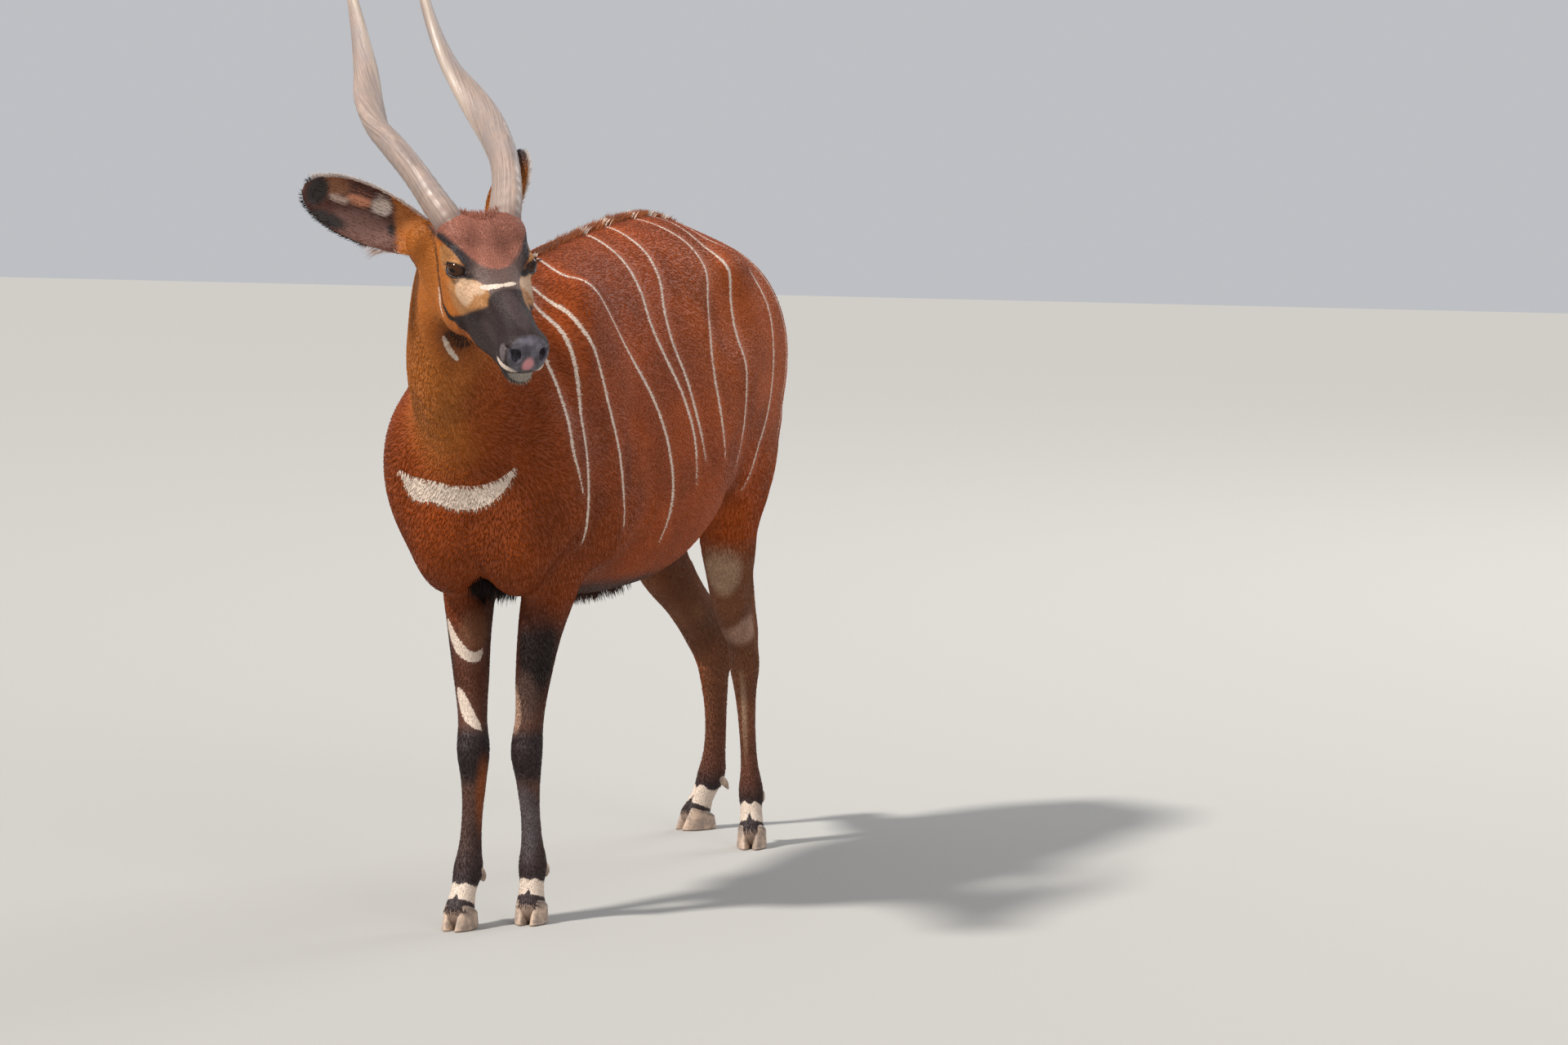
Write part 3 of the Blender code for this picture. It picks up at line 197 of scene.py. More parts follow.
# Stance of each leg: its turn about the vertical in degrees towards the left, and by height
# its x and how far it is moved along y
STANCES = {
    "front_left": (8, ((0.70, 0.085, 0.0), (0.51, 0.056, 0.0), (0.32, 0.041, 0.006), (0.0, 0.038, 0.048))),
    "front_right": (
        -2,
        ((0.70, -0.095, 0.0), (0.51, -0.077, 0.0), (0.32, -0.052, -0.026), (0.0, -0.056, -0.072)),
    ),
    "hind_left": (
        15,
        ((0.75, 0.108, 0.0), (0.60, 0.093, 0.0), (0.50, 0.072, 0.0), (0.39, 0.063, 0.0), (0.0, 0.079, 0.018)),
    ),
    "hind_right": (
        -35,
        (
            (0.75, -0.100, 0.03), (0.60, -0.096, 0.09), (0.39, -0.080, 0.18), (0.2, -0.073, 0.2),
            (0.0, -0.105, 0.215),
        ),
    ),
}
# The y about which the lower front and hind legs are turned, and the heights between which it starts
TURN_AXIS = {"front": -0.468, "hind": 0.600}
TURN_HEIGHTS = (0.36, 0.50)

# Hooves: height of the coronet at the claw's middle, its slope, and the claw's size at the sole
CORONET_HEIGHT = 0.040
CORONET_SLOPE = 0.35
CLAW_HALF_WIDTH = 0.0145
CLAW_HALF_LENGTH = 0.041
CLEFT = 0.0016
# Claw sections from the sole up: height (metres below 0.1, else share of the coronet's height),
# width, length, how far it is set back as a share of the half length
CLAW = (
    (0.0, 0.90, 0.94, 0.00),
    (0.004, 1.00, 1.00, 0.00),
    (0.450, 0.97, 0.86, 0.10),
    (1.000, 0.93, 0.70, 0.20),
)
# The two small claws behind each fetlock: height, how far behind the leg's line, how far to the side
DEWCLAW_PLACE = (0.098, 0.026, 0.015)
# Their sections from the root to the tip: distance out of the leg, drop, radius
DEWCLAW = ((-0.014, -0.010, 0.0110), (0.002, -0.002, 0.0105), (0.010, 0.006, 0.0085), (0.014, 0.013, 0.0040))

# Horn stations: distance from the base towards its tip, half of the space between the two horns,
# rise from the straight line, radius, turn of the oval section in degrees
HORN = (
    (-0.070, 0.0310, -0.0520, 0.0330, 113),
    (-0.035, 0.0375, -0.0225, 0.0345, 112),
    (0.000, 0.0507, -0.0118, 0.0330, 111),
    (0.050, 0.0688, -0.0034, 0.0305, 110),
    (0.100, 0.0829, 0.0013, 0.0280, 109),
    (0.150, 0.0934, -0.0022, 0.0268, 109),
    (0.210, 0.1021, -0.0159, 0.0262, 112),
    (0.280, 0.1088, -0.0359, 0.0250, 132),
    (0.360, 0.1021, -0.0486, 0.0230, 170),
    (0.450, 0.0841, -0.0513, 0.0190, 214),
    (0.560, 0.0728, -0.0344, 0.0138, 250),
    (0.620, 0.0710, -0.0190, 0.0105, 266),
    (0.670, 0.0740, -0.0040, 0.0070, 278),
    (0.720, 0.0830, 0.0140, 0.0022, 289),
)
HORN_BASE = (0.066, 0.000, 0.086)
HORN_DIRECTION = (-0.974, 0.000, 0.225)
HORN_KEEL = 0.10
HORN_OVAL = 1.17

# Ears: root (f, l, u), way to the tip, and the side towards which the cup opens
EARS = {
    "ear_right": ((0.030, -0.064, 0.012), (-0.118, -0.222, 0.062), (0.857, -0.468, 0.217)),
    "ear_left": ((0.012, 0.076, 0.018), (-0.120, 0.051, 0.092), (-0.170, 0.965, -0.200)),
}
# Ear stations: share of the length, half width, depth of the cup, how hollow it is
EAR = (
    (0.00, 0.034, 0.030, 0.00),
    (0.14, 0.040, 0.032, 0.00),
    (0.24, 0.047, 0.032, 0.45),
    (0.38, 0.053, 0.030, 0.78),
    (0.55, 0.056, 0.024, 0.84),
    (0.72, 0.052, 0.016, 0.84),
    (0.87, 0.039, 0.011, 0.78),
    (0.96, 0.024, 0.008, 0.60),
    (1.00, 0.009, 0.005, 0.30),
)

# Tail: x, y, z, half width, half depth
TAIL = (
    (0.000, 0.600, 1.130, 0.034, 0.030),
    (0.002, 0.700, 1.075, 0.026, 0.022),
    (0.004, 0.748, 0.985, 0.019, 0.017),
    (0.006, 0.760, 0.860, 0.015, 0.013),
    (0.004, 0.752, 0.720, 0.012, 0.011),
    (0.002, 0.744, 0.600, 0.010, 0.010),
)
# The tail's middle line: its heights from the tip up, and y at each
TAIL_LINE = (np.array([r[2] for r in TAIL[::-1]]), np.array([r[1] for r in TAIL[::-1]]))

# The crest of erect hair along the back: from y to y
CREST_RANGE = (-0.330, 0.330)

# The cut between head and neck, in the head's own axes: a point of it and its direction
NAPE = (0.020, 0.000, -0.125)
NAPE_NORMAL = (0.86, 0.00, 0.51)

# Depth of the coat that the skin lies under: on the body, on the lower legs and on the face
COAT_DEPTH = {"body": 0.0028, "leg": 0.0014, "face": 0.0010}
# Where the fine mesh of the head meets the mesh of the body: set back from the nape, and the gap bridged
JOIN_BACK = 0.035
JOIN_GAP = 0.005
SKIN_NODES = (
    "head", "neck", "torso", "foreleg_left", "foreleg_right", "hindleg_left", "hindleg_right", "tail",
)

# Folds, grooves (height below zero) and ridges of the body, alike on both sides: path, width, height
BODY_RELIEF = (
    (((0.215, -0.250, 1.060), (0.200, -0.300, 0.920), (0.170, -0.350, 0.780)), 0.030, -0.0060),
    (((0.110, -0.330, 1.210), (0.160, -0.440, 1.060), (0.165, -0.480, 0.960)), 0.026, 0.0050),
    (((0.220, 0.120, 0.790), (0.180, 0.230, 0.745), (0.150, 0.330, 0.720)), 0.020, -0.0060),
    (((0.150, 0.500, 1.080), (0.135, 0.560, 0.900), (0.110, 0.560, 0.740)), 0.026, -0.0050),
    (((0.145, 0.350, 1.130), (0.180, 0.330, 0.980), (0.175, 0.320, 0.850)), 0.030, 0.0050),
    (((0.120, 0.560, 1.090), (0.080, 0.620, 1.075), (0.050, 0.650, 1.060)), 0.008, -0.0030),
    (((0.080, 0.560, 1.140), (0.120, 0.470, 1.150), (0.150, 0.400, 1.130)), 0.020, -0.0030),
    (((0.000, -0.640, 0.790), (0.000, -0.615, 0.700), (0.000, -0.540, 0.640)), 0.014, -0.0080),
    (((0.085, -0.660, 0.900), (0.095, -0.620, 0.800), (0.085, -0.570, 0.700)), 0.026, 0.0040),
    (((0.095, -0.620, 1.060), (0.100, -0.600, 0.980), (0.090, -0.600, 0.900)), 0.022, -0.0050),
)
# The same on the neck, one side as drawn: the windpipe's groove and the folds of its turn
NECK_RELIEF = (
    (((0.150, -0.800, 1.150), (0.090, -0.740, 1.060), (0.060, -0.670, 0.940)), 0.020, -0.0050),
    (((-0.030, -0.850, 1.130), (-0.060, -0.770, 1.050), (-0.080, -0.680, 0.960)), 0.022, -0.0050),
    (((0.125, -0.690, 1.250), (0.130, -0.700, 1.180), (0.120, -0.720, 1.100)), 0.007, -0.0035),
    (((0.115, -0.665, 1.240), (0.118, -0.675, 1.170), (0.110, -0.690, 1.090)), 0.007, -0.0030),
    (((0.105, -0.640, 1.225), (0.110, -0.648, 1.160), (0.104, -0.660, 1.090)), 0.007, -0.0025),
)
# The same on the head, about its own axes, alike on both sides
HEAD_RELIEF = (
    (((0.136, 0.074, 0.056), (0.158, 0.080, 0.062), (0.184, 0.072, 0.052)), 0.0035, -0.0022),
    (((0.142, 0.082, 0.016), (0.162, 0.082, 0.012), (0.184, 0.072, 0.020)), 0.0035, -0.0016),
    (((0.182, 0.072, 0.032), (0.200, 0.058, 0.026), (0.214, 0.052, 0.016)), 0.0040, -0.0022),
    (((0.205, 0.060, 0.006), (0.150, 0.072, -0.004), (0.080, 0.070, -0.010)), 0.0090, 0.0026),
    (((0.225, 0.047, 0.032), (0.275, 0.040, 0.026), (0.335, 0.036, 0.018)), 0.0080, -0.0024),
    (((0.130, 0.066, -0.030), (0.158, 0.056, -0.060), (0.150, 0.048, -0.096)), 0.0080, -0.0020),
    (((0.090, 0.050, -0.104), (0.180, 0.040, -0.096), (0.270, 0.030, -0.078)), 0.0080, 0.0016),
    (((0.404, 0.000, 0.014), (0.404, 0.000, -0.012), (0.396, 0.000, -0.034)), 0.0024, -0.0030),
    (((0.392, 0.030, 0.010), (0.380, 0.037, 0.013), (0.366, 0.037, 0.008)), 0.0030, -0.0040),
    (((0.394, 0.015, 0.019), (0.384, 0.029, 0.021), (0.368, 0.036, 0.019)), 0.0050, 0.0018),
    (((0.398, 0.008, -0.030), (0.380, 0.030, -0.034), (0.340, 0.042, -0.038)), 0.0040, 0.0016),
    (((0.300, 0.046, -0.040), (0.292, 0.045, -0.048), (0.286, 0.042, -0.058)), 0.0030, -0.0016),
)
# The same on the lower legs, about each leg's own line: how far ahead, how far aside, by height
LEG_RELIEF = {
    "front": (
        (((-0.006, 0.022, 0.285), (-0.005, 0.017, 0.210), (-0.006, 0.021, 0.150)), 0.0050, -0.0030),
        (((0.034, 0.000, 0.348), (0.037, 0.000, 0.330), (0.032, 0.000, 0.305)), 0.0140, 0.0035),
        (((0.028, -0.024, 0.300), (0.033, 0.000, 0.294), (0.028, 0.024, 0.300)), 0.0026, -0.0016),
        (((0.028, -0.024, 0.366), (0.034, 0.000, 0.370), (0.028, 0.024, 0.366)), 0.0030, -0.0014),
        (((0.033, 0.000, 0.120), (0.028, 0.000, 0.080), (0.032, 0.000, 0.040)), 0.0045, -0.0040),
        (((-0.030, -0.020, 0.098), (-0.034, 0.000, 0.094), (-0.030, 0.020, 0.098)), 0.0050, 0.0030),
    ),
    "hind": (
        (((-0.004, 0.023, 0.330), (-0.004, 0.018, 0.240), (-0.005, 0.020, 0.160)), 0.0050, -0.0032),
        (((-0.020, 0.028, 0.520), (-0.016, 0.030, 0.450), (-0.014, 0.028, 0.390)), 0.0100, -0.0060),
        (((0.004, 0.031, 0.400), (0.008, 0.031, 0.385), (0.010, 0.030, 0.372)), 0.0110, 0.0030),
        (((0.034, -0.022, 0.445), (0.044, 0.000, 0.440), (0.034, 0.022, 0.445)), 0.0030, -0.0020),
        (((0.034, -0.022, 0.428), (0.043, 0.000, 0.422), (0.034, 0.022, 0.428)), 0.0026, -0.0018),
        (((0.034, -0.022, 0.458), (0.044, 0.000, 0.456), (0.034, 0.022, 0.458)), 0.0026, -0.0016),
        (((0.031, 0.000, 0.120), (0.027, 0.000, 0.080), (0.031, 0.000, 0.040)), 0.0045, -0.0040),
        (((-0.030, -0.020, 0.100), (-0.034, 0.000, 0.096), (-0.030, 0.020, 0.100)), 0.0050, 0.0030),
    ),
}

# Colours of the coat, linear
CHESTNUT = (0.330, 0.056, 0.002)
RUMP = (0.410, 0.084, 0.003)
DARK_CHESTNUT = (0.215, 0.038, 0.002)
UNDERSIDE = (0.045, 0.014, 0.007)
ORANGE = (0.390, 0.118, 0.016)
BLACK = (0.014, 0.008, 0.007)
CREAM = (0.560, 0.370, 0.240)
PINKISH = (0.560, 0.340, 0.240)
WHITE = (0.700, 0.570, 0.470)
TAN = (0.400, 0.180, 0.060)
MUZZLE = (0.028, 0.015, 0.014)
LIP = (0.380, 0.330, 0.280)
SLATE = (0.034, 0.021, 0.021)
GREY_BROWN = (0.125, 0.076, 0.064)
MAROON = (0.290, 0.108, 0.072)
CROWN_SIDE = (0.026, 0.019, 0.020)
CREST_BROWN = (0.270, 0.075, 0.022)

# Colours of the bare parts, with the darker or lighter tone that each is mottled with
PAD_TONES = ((0.120, 0.106, 0.130), (0.050, 0.043, 0.054))
PAD_PINK = (0.560, 0.230, 0.240)
IRIS_TONES = ((0.075, 0.026, 0.010), (0.022, 0.009, 0.004))
EYE_WHITE = (0.060, 0.030, 0.020)
PUPIL = (0.003, 0.002, 0.002)
HORN_TONES = ((0.410, 0.300, 0.245), (0.230, 0.170, 0.145))
HORN_CLOUD = (0.270, 0.220, 0.215)
HORN_LINES = (0.140, 0.102, 0.086)
HORN_EDGE = (0.520, 0.420, 0.340)
HORN_TIP = (0.600, 0.510, 0.400)
HORN_ROOT = (0.150, 0.085, 0.065)
HOOF_TONES = ((0.520, 0.375, 0.275), (0.290, 0.215, 0.170))
HOOF_GRAIN = (0.150, 0.110, 0.090)
HOOF_TOP = (0.045, 0.032, 0.028)

# Stripes: points of each as (turn about the trunk in degrees, y)
STRIPES = (
    ((84, -0.575), (60, -0.548), (33, -0.529), (19, -0.530), (5, -0.545), (-9, -0.554), (-23, -0.526)),
    (
        (86, -0.512), (61, -0.488), (48, -0.476), (35, -0.472), (22, -0.476), (9, -0.487), (-4, -0.503),
        (-17, -0.509), (-30, -0.495), (-43, -0.464),
    ),
    (
        (86, -0.462), (71, -0.455), (58, -0.449), (45, -0.440), (32, -0.425), (19, -0.407), (6, -0.393),
        (-7, -0.386), (-20, -0.377), (-33, -0.352),
    ),
    (
        (88, -0.340), (71, -0.360), (55, -0.358), (39, -0.310), (22, -0.248), (6, -0.203), (-11, -0.163),
        (-27, -0.132), (-43, -0.124),
    ),
    (
        (90, -0.104), (76, -0.108), (62, -0.106), (48, -0.119), (33, -0.138), (19, -0.124), (5, -0.091),
        (-9, -0.061), (-23, -0.043),
    ),
    (
        (89, -0.002), (76, -0.006), (63, -0.005), (50, -0.026), (37, -0.068), (24, -0.082), (11, -0.066),
        (-3, -0.045), (-16, -0.014),
    ),
    (
        (87, 0.134), (74, 0.158), (61, 0.186), (48, 0.178), (35, 0.126), (23, 0.070), (10, 0.046),
        (-3, 0.053), (-16, 0.076),
    ),
    (
        (88, 0.232), (76, 0.246), (64, 0.252), (52, 0.259), (40, 0.262), (28, 0.250), (16, 0.226), (4, 0.199),
        (-8, 0.179), (-20, 0.158),
    ),
    (
        (86, 0.300), (68, 0.318), (56, 0.345), (43, 0.392), (30, 0.421), (17, 0.418), (4, 0.411), (-9, 0.392),
        (-22, 0.352), (-35, 0.312),
    ),
    ((84, 0.390), (60, 0.425), (30, 0.520), (0, 0.545), (-20, 0.500)),
)
# Height of the axis that the turns are about, and the height and half width of the trunk round it
STRIPE_CENTRE = (0.95, 0.33, 0.21)
STRIPE_ARC = 0.30
STRIPE_HALF = 0.0038
# The white crescent low on the neck: x, lower edge, upper edge
CRESCENT = (
    (-0.150, 0.866, 0.872),
    (-0.136, 0.836, 0.864),
    (-0.073, 0.812, 0.853),
    (-0.015, 0.800, 0.846),
    (0.043, 0.816, 0.852),
    (0.078, 0.852, 0.872),
    (0.092, 0.880, 0.884),
)
# It lies ahead of this y, about this x and within this half width
CRESCENT_FRONT = -0.560
CRESCENT_MIDDLE = -0.029
CRESCENT_HALF = 0.121

# Soft patches of colour on the body, in the order painted, alike on both sides: centre, radii, colour,
# strength
BODY_PATCHES = (
    ((0.00, 0.60, 1.00), (0.30, 0.36, 0.50), RUMP, 0.75),
    ((0.20, 0.20, 1.10), (0.25, 0.30, 0.25), RUMP, 0.35),
    ((0.10, -0.50, 0.86), (0.30, 0.26, 0.32), DARK_CHESTNUT, 0.75),
    ((0.00, -0.45, 0.68), (0.30, 0.40, 0.14), DARK_CHESTNUT, 0.60),
    ((0.00, -0.10, 0.600), (0.17, 0.60, 0.080), UNDERSIDE, 0.95),
    ((0.00, 0.38, 0.740), (0.080, 0.30, 0.150), UNDERSIDE, 0.85),
    ((0.00, -0.510, 0.618), (0.050, 0.070, 0.034), BLACK, 0.90),
    ((0.00, 0.00, 1.320), (0.030, 0.60, 0.040), DARK_CHESTNUT, 0.60),
)
NECK_PATCHES_AND_SHADOW = (
    ((-0.05, -0.72, 1.12), (0.17, 0.20, 0.34), ORANGE, 0.95),
    ((-0.09, -0.80, 1.25), (0.10, 0.14, 0.14), ORANGE, 0.90),
    ((0.10, -0.66, 1.20), (0.12, 0.18, 0.18), ORANGE, 0.60),
    # The next two: the throat's darker coat on its left side, deepened as painted shadow cast by the head
    ((0.080, -0.850, 1.080), (0.080, 0.080, 0.130), UNDERSIDE, 0.90),
    ((0.075, -0.700, 0.980), (0.070, 0.090, 0.140), DARK_CHESTNUT, 0.70),
)
# Where the dark muzzle begins: height in the head, f
MUZZLE_BORDER = (
    (-0.140, 0.330), (-0.110, 0.262), (-0.090, 0.215), (-0.076, 0.168), (-0.060, 0.160), (-0.033, 0.197),
    (-0.010, 0.226), (0.008, 0.246), (0.026, 0.262), (0.042, 0.252), (0.056, 0.254), (0.080, 0.254),
)
# The top of the head by f: the height above the width, u - |l|, from which its dark edge and its maroon begin
CROWN = (
    (-0.020, -0.034, -0.030), (0.050, -0.030, -0.024), (0.080, -0.022, -0.010), (0.100, -0.016, 0.002),
    (0.143, -0.004, 0.016), (0.170, 0.000, 0.025), (0.190, 0.000, 0.038), (0.202, -0.001, 0.052),
    (0.208, 0.004, 0.080), (0.215, 0.010, 0.200), (0.230, 0.018, 0.200),
)
# How far the marks of the bridge lie to the right of the middle, and where
BRIDGE_SHIFT = (0.0075, 0.250, 0.060)
# Soft patches on the head about its own axes, alike on both sides
HEAD_PATCHES = (
    ((0.000, 0.00, -0.02), (0.26, 0.18, 0.16), ORANGE, 1.00),
    ((0.225, 0.048, 0.006), (0.105, 0.056, 0.070), TAN, 1.00),
    ((0.150, 0.076, 0.054), (0.050, 0.022, 0.034), TAN, 0.95),
    ((0.110, 0.068, 0.034), (0.048, 0.030, 0.026), TAN, 0.95),
    ((0.206, 0.062, 0.026), (0.038, 0.026, 0.034), CREAM, 0.90),
    ((0.228, 0.042, 0.044), (0.022, 0.016, 0.016), CREAM, 0.90),
    ((0.254, 0.044, 0.026), (0.018, 0.016, 0.018), TAN, 0.80),
    ((0.140, 0.000, -0.150), (0.160, 0.050, 0.034), UNDERSIDE, 0.95),
)
# Patches of the left side alone, and of the muzzle, which lie over its dark
LEFT_PATCHES = (((0.272, 0.036, 0.040), (0.040, 0.018, 0.016), TAN, 0.95),)
FRONT_PATCHES = (
    ((0.320, 0.000, 0.050), (0.080, 0.022, 0.020), (0.068, 0.044, 0.044), 0.85),
    ((0.300, 0.044, -0.006), (0.050, 0.016, 0.022), (0.060, 0.036, 0.034), 0.60),
    ((0.372, 0.043, -0.002), (0.014, 0.012, 0.022), (0.200, 0.160, 0.165), 0.80),
    ((0.380, 0.002, -0.051), (0.028, 0.032, 0.013), LIP, 0.95),
)
# Dark lines on the head: path, half width. The third, along the rear edge of the cheek, is painted shade where
# the cheek turns over the neck
HEAD_LINES = (
    (((0.180, 0.066, 0.052), (0.193, 0.058, 0.049), (0.206, 0.046, 0.051)), 0.0058),
    (((0.148, 0.080, 0.040), (0.128, 0.077, 0.032), (0.106, 0.074, 0.020)), 0.0030),
    (((0.030, 0.073, 0.048), (0.042, 0.073, 0.037), (0.064, 0.072, 0.015), (0.087, 0.072, -0.006),
      (0.101, 0.070, -0.032), (0.126, 0.066, -0.062), (0.151, 0.062, -0.068)), 0.0024),
    (((0.120, 0.067, -0.058), (0.151, 0.060, -0.069), (0.190, 0.048, -0.058)), 0.0050),
)
# White marks on both sides of the head: path, half width
HEAD_WHITES = (
    (((0.225, 0.0375, 0.044), (0.238, 0.025, 0.051), (0.244, 0.012, 0.057), (0.247, 0.000, 0.060)), 0.0056),
    (
        ((0.097, 0.071, -0.038), (0.102, 0.069, -0.048), (0.112, 0.065, -0.076), (0.126, 0.062, -0.090)),
        0.0024,
    ),
    (
        ((0.348, 0.045, -0.026), (0.366, 0.041, -0.028), (0.389, 0.030, -0.029), (0.396, 0.010, -0.034)),
        0.0052,
    ),
)
# The white mark of the jaw, which lies on the right side alone
JAW_WHITE = (((0.087, 0.041, -0.154), (0.090, 0.026, -0.182), (0.092, 0.008, -0.204)), 0.0052)
# The bare pad of the nose, about the head's axes: centre, radii, and the pink patch on it
NOSE_PAD = ((0.398, 0.000, 0.002), (0.042, 0.045, 0.044))
PINK_PATCH = ((0.402, -0.002, -0.014), (0.020, 0.014, 0.021))

# The colour by height of each kind of leg, from the top: height, colour. The skin ends in the hoof's colour
HOOF_SKIN = (0.240, 0.165, 0.125)
LEG_TINTS = {
    "front": (
        (0.650, DARK_CHESTNUT), (0.560, (0.100, 0.028, 0.012)), (0.470, (0.105, 0.032, 0.016)),
        (0.385, (0.105, 0.040, 0.024)), (0.362, SLATE), (0.290, SLATE), (0.262, (0.120, 0.054, 0.036)),
        (0.150, (0.070, 0.038, 0.032)), (0.095, SLATE), (0.042, SLATE), (0.036, HOOF_SKIN),
        (0.000, HOOF_SKIN),
    ),
    "hind": (
        (0.700, DARK_CHESTNUT), (0.600, (0.220, 0.070, 0.024)), (0.480, (0.210, 0.074, 0.030)),
        (0.380, (0.220, 0.078, 0.032)), (0.250, (0.200, 0.068, 0.030)), (0.140, (0.130, 0.046, 0.026)),
        (0.095, SLATE), (0.042, SLATE), (0.036, HOOF_SKIN), (0.000, HOOF_SKIN),
    ),
}
FRONT_STREAK = (0.300, 0.085, 0.026)
GREY_SHIN = (0.110, 0.090, 0.096)
# Patches of one leg each, in the drawing's own place: leg, centre, radii, colour, strength
LEG_PATCHES = (
    # The left forearm's dark coat, made black as painted shade on its outer side, which faces away from the
    # key light
    ("front_left", (0.075, -0.500, 0.530), (0.050, 0.090, 0.130), BLACK, 0.95),
    ("front_left", (0.052, -0.498, 0.436), (0.032, 0.050, 0.066), (0.130, 0.070, 0.052), 0.85),
    ("front_left", (0.030, -0.488, 0.412), (0.017, 0.050, 0.056), PINKISH, 0.90),
    ("front_left", (0.040, -0.463, 0.200), (0.028, 0.050, 0.110), GREY_SHIN, 0.85),
    ("front_left", (0.074, -0.455, 0.190), (0.014, 0.040, 0.090), FRONT_STREAK, 0.70),
    ("front_right", (-0.120, -0.480, 0.500), (0.036, 0.090, 0.120), BLACK, 0.60),
    ("front_right", (-0.024, -0.512, 0.240), (0.021, 0.050, 0.105), FRONT_STREAK, 0.95),
    ("front_right", (-0.050, -0.488, 0.562), (0.040, 0.050, 0.052), (0.210, 0.085, 0.040), 0.80),
    ("hind_left", (0.108, 0.356, 0.585), (0.050, 0.090, 0.082), CREAM, 0.70),
    ("hind_left", (0.085, 0.530, 0.460), (0.050, 0.060, 0.044), PINKISH, 0.75),
    ("hind_left", (0.072, 0.560, 0.240), (0.014, 0.030, 0.150), CREAM, 0.95),
    ("hind_right", (-0.040, 0.640, 0.440), (0.030, 0.090, 0.090), TAN, 0.70),
    ("hind_right", (-0.120, 0.760, 0.280), (0.040, 0.080, 0.140), DARK_CHESTNUT, 0.80),
)
# White marks of the legs: leg, path, half width
LEG_WHITES = (
    ("front_right", ((-0.104, -0.490, 0.580), (-0.096, -0.500, 0.556), (-0.084, -0.507, 0.534),
                     (-0.066, -0.507, 0.515), (-0.048, -0.490, 0.508), (-0.036, -0.470, 0.526)), 0.0105),
    ("front_right", ((-0.080, -0.504, 0.448), (-0.070, -0.511, 0.425), (-0.056, -0.514, 0.400),
                     (-0.038, -0.506, 0.374)), 0.0120),
)
# White of each pastern: lowest and highest, and how much it bows up on either side of the cleft
PASTERN_WHITE = {"front": (0.050, 0.080, 0.005), "hind": (0.050, 0.084, 0.009)}

# The skin's regions, and each one's number
REGIONS = ("torso", "neck", "head", "front_left", "front_right", "hind_left", "hind_right", "tail")
NUMBER = {name: number for number, name in enumerate(REGIONS)}
# The plane behind which the neck starts: a point of it and the way across it
NECK_PLANE = ((0.0, -0.640, 1.020), (0.0, -0.80, 0.60))
# The way the hair lies on each region, and on the parts of the trunk that lead into the legs
LIES = {
    "torso": (0.0, 1.0, -0.30),
    "limb": (0.0, 0.15, -1.0),
    "neck": (0.0, 0.62, -0.78),
    "leg": (0.0, 0.10, -1.0),
    "tail": (0.0, 0.0, -1.0),
}
# The unwrap: radius round which each region is laid flat, the trunk's axis, and the neck's root and way
CHART_RADIUS = {"torso": 0.26, "neck": 0.13, "head": 0.07, "leg": 0.04, "tail": 0.02}
TRUNK_AXIS_HEIGHT = 0.95
NECK_ROOT = (0.0, -0.52, 1.03)
NECK_WAY = (0.05, -0.42, 0.33)
# Size of each tuft's own patch on the unwrap
PATCH_SIZE = 0.003

# Tufts of the short coat by region: share of the density, length, width, lift of the tip
FUR = {
    "torso": (1.0, 0.0120, 0.0019, 0.0010),
    "neck": (1.1, 0.0115, 0.0018, 0.0010),
    "head": (3.4, 0.0050, 0.0012, 0.0006),
    "leg": (2.0, 0.0080, 0.0014, 0.0010),
    "tail": (2.0, 0.0130, 0.0020, 0.0016),
}
# Number of tufts in all, and the most that one piece holds
FUR_COUNT = 215000
FUR_PIECE = 33000
FUR_SINK = 0.0010
# The coat ends at this height, above the hooves
FUR_FOOT = 0.036

# Longer hair that stands off the skin: name, axes it is placed in, centre and radii of its roots, count,
# way it lies, length, width, colour
LOOSE_HAIR = (
    (
        "belly_fringe", "body", (0.0, -0.10, 0.595), (0.046, 0.260, 0.030), 800,
        (0, 0.75, -1.0), 0.020, 0.0024, UNDERSIDE,
    ),
    (
        "brisket_hair", "body", (-0.01, -0.500, 0.630), (0.045, 0.070, 0.050), 420,
        (0, -0.10, -1.0), 0.026, 0.0020, BLACK,
    ),
    (
        "chin_hair", "head", (0.350, 0.0, -0.070), (0.040, 0.026, 0.014), 36,
        (0.30, 0, -1.0), 0.022, 0.0006, BLACK,
    ),
    (
        "chin_hair_light", "head", (0.368, 0.0, -0.058), (0.024, 0.022, 0.014), 90,
        (0.2, 0, -1.0), 0.006, 0.0008, LIP,
    ),
    (
        "horn_base_hair", "head", (0.060, 0.0, 0.085), (0.060, 0.060, 0.022), 420,
        (-1.0, 0, 0.45), 0.012, 0.0018, MAROON,
    ),
    (
        "throat_hair", "head", (0.090, 0.0, -0.135), (0.100, 0.040, 0.050), 260,
        (-0.5, 0, -0.8), 0.014, 0.0020, ORANGE,
    ),
)

# Seeds of the random draws: of the roots and, where there are two, of the shades
FUR_SEED = 21
CREST_SEEDS = (31, 32)
TUFT_SEEDS = (41, 42)
LOOSE_SEEDS = (50, 60)
HORN_SEED = 71
EAR_SEEDS = {"ear_left": 81, "ear_right": 82}
EAR_SHADE_SEED = 83
LASH_SEEDS = (91, 93)

# Hair of the crest and of the tail's tuft: number, width, length and how much longer some of it is
CREST_HAIR = (3000, 0.0026, 0.010, 0.017)
TUFT_HAIR = (900, 0.0042, 0.125, 0.055)
# Half width of the crest at its roots, and how deep they are sunk
CREST_SPREAD = 0.0060
CREST_SINK = 0.006
TUFT_RADIUS = 0.0080
# Lashes of one eye: number, width, length
LASHES = (60, 0.0006, 0.0085)
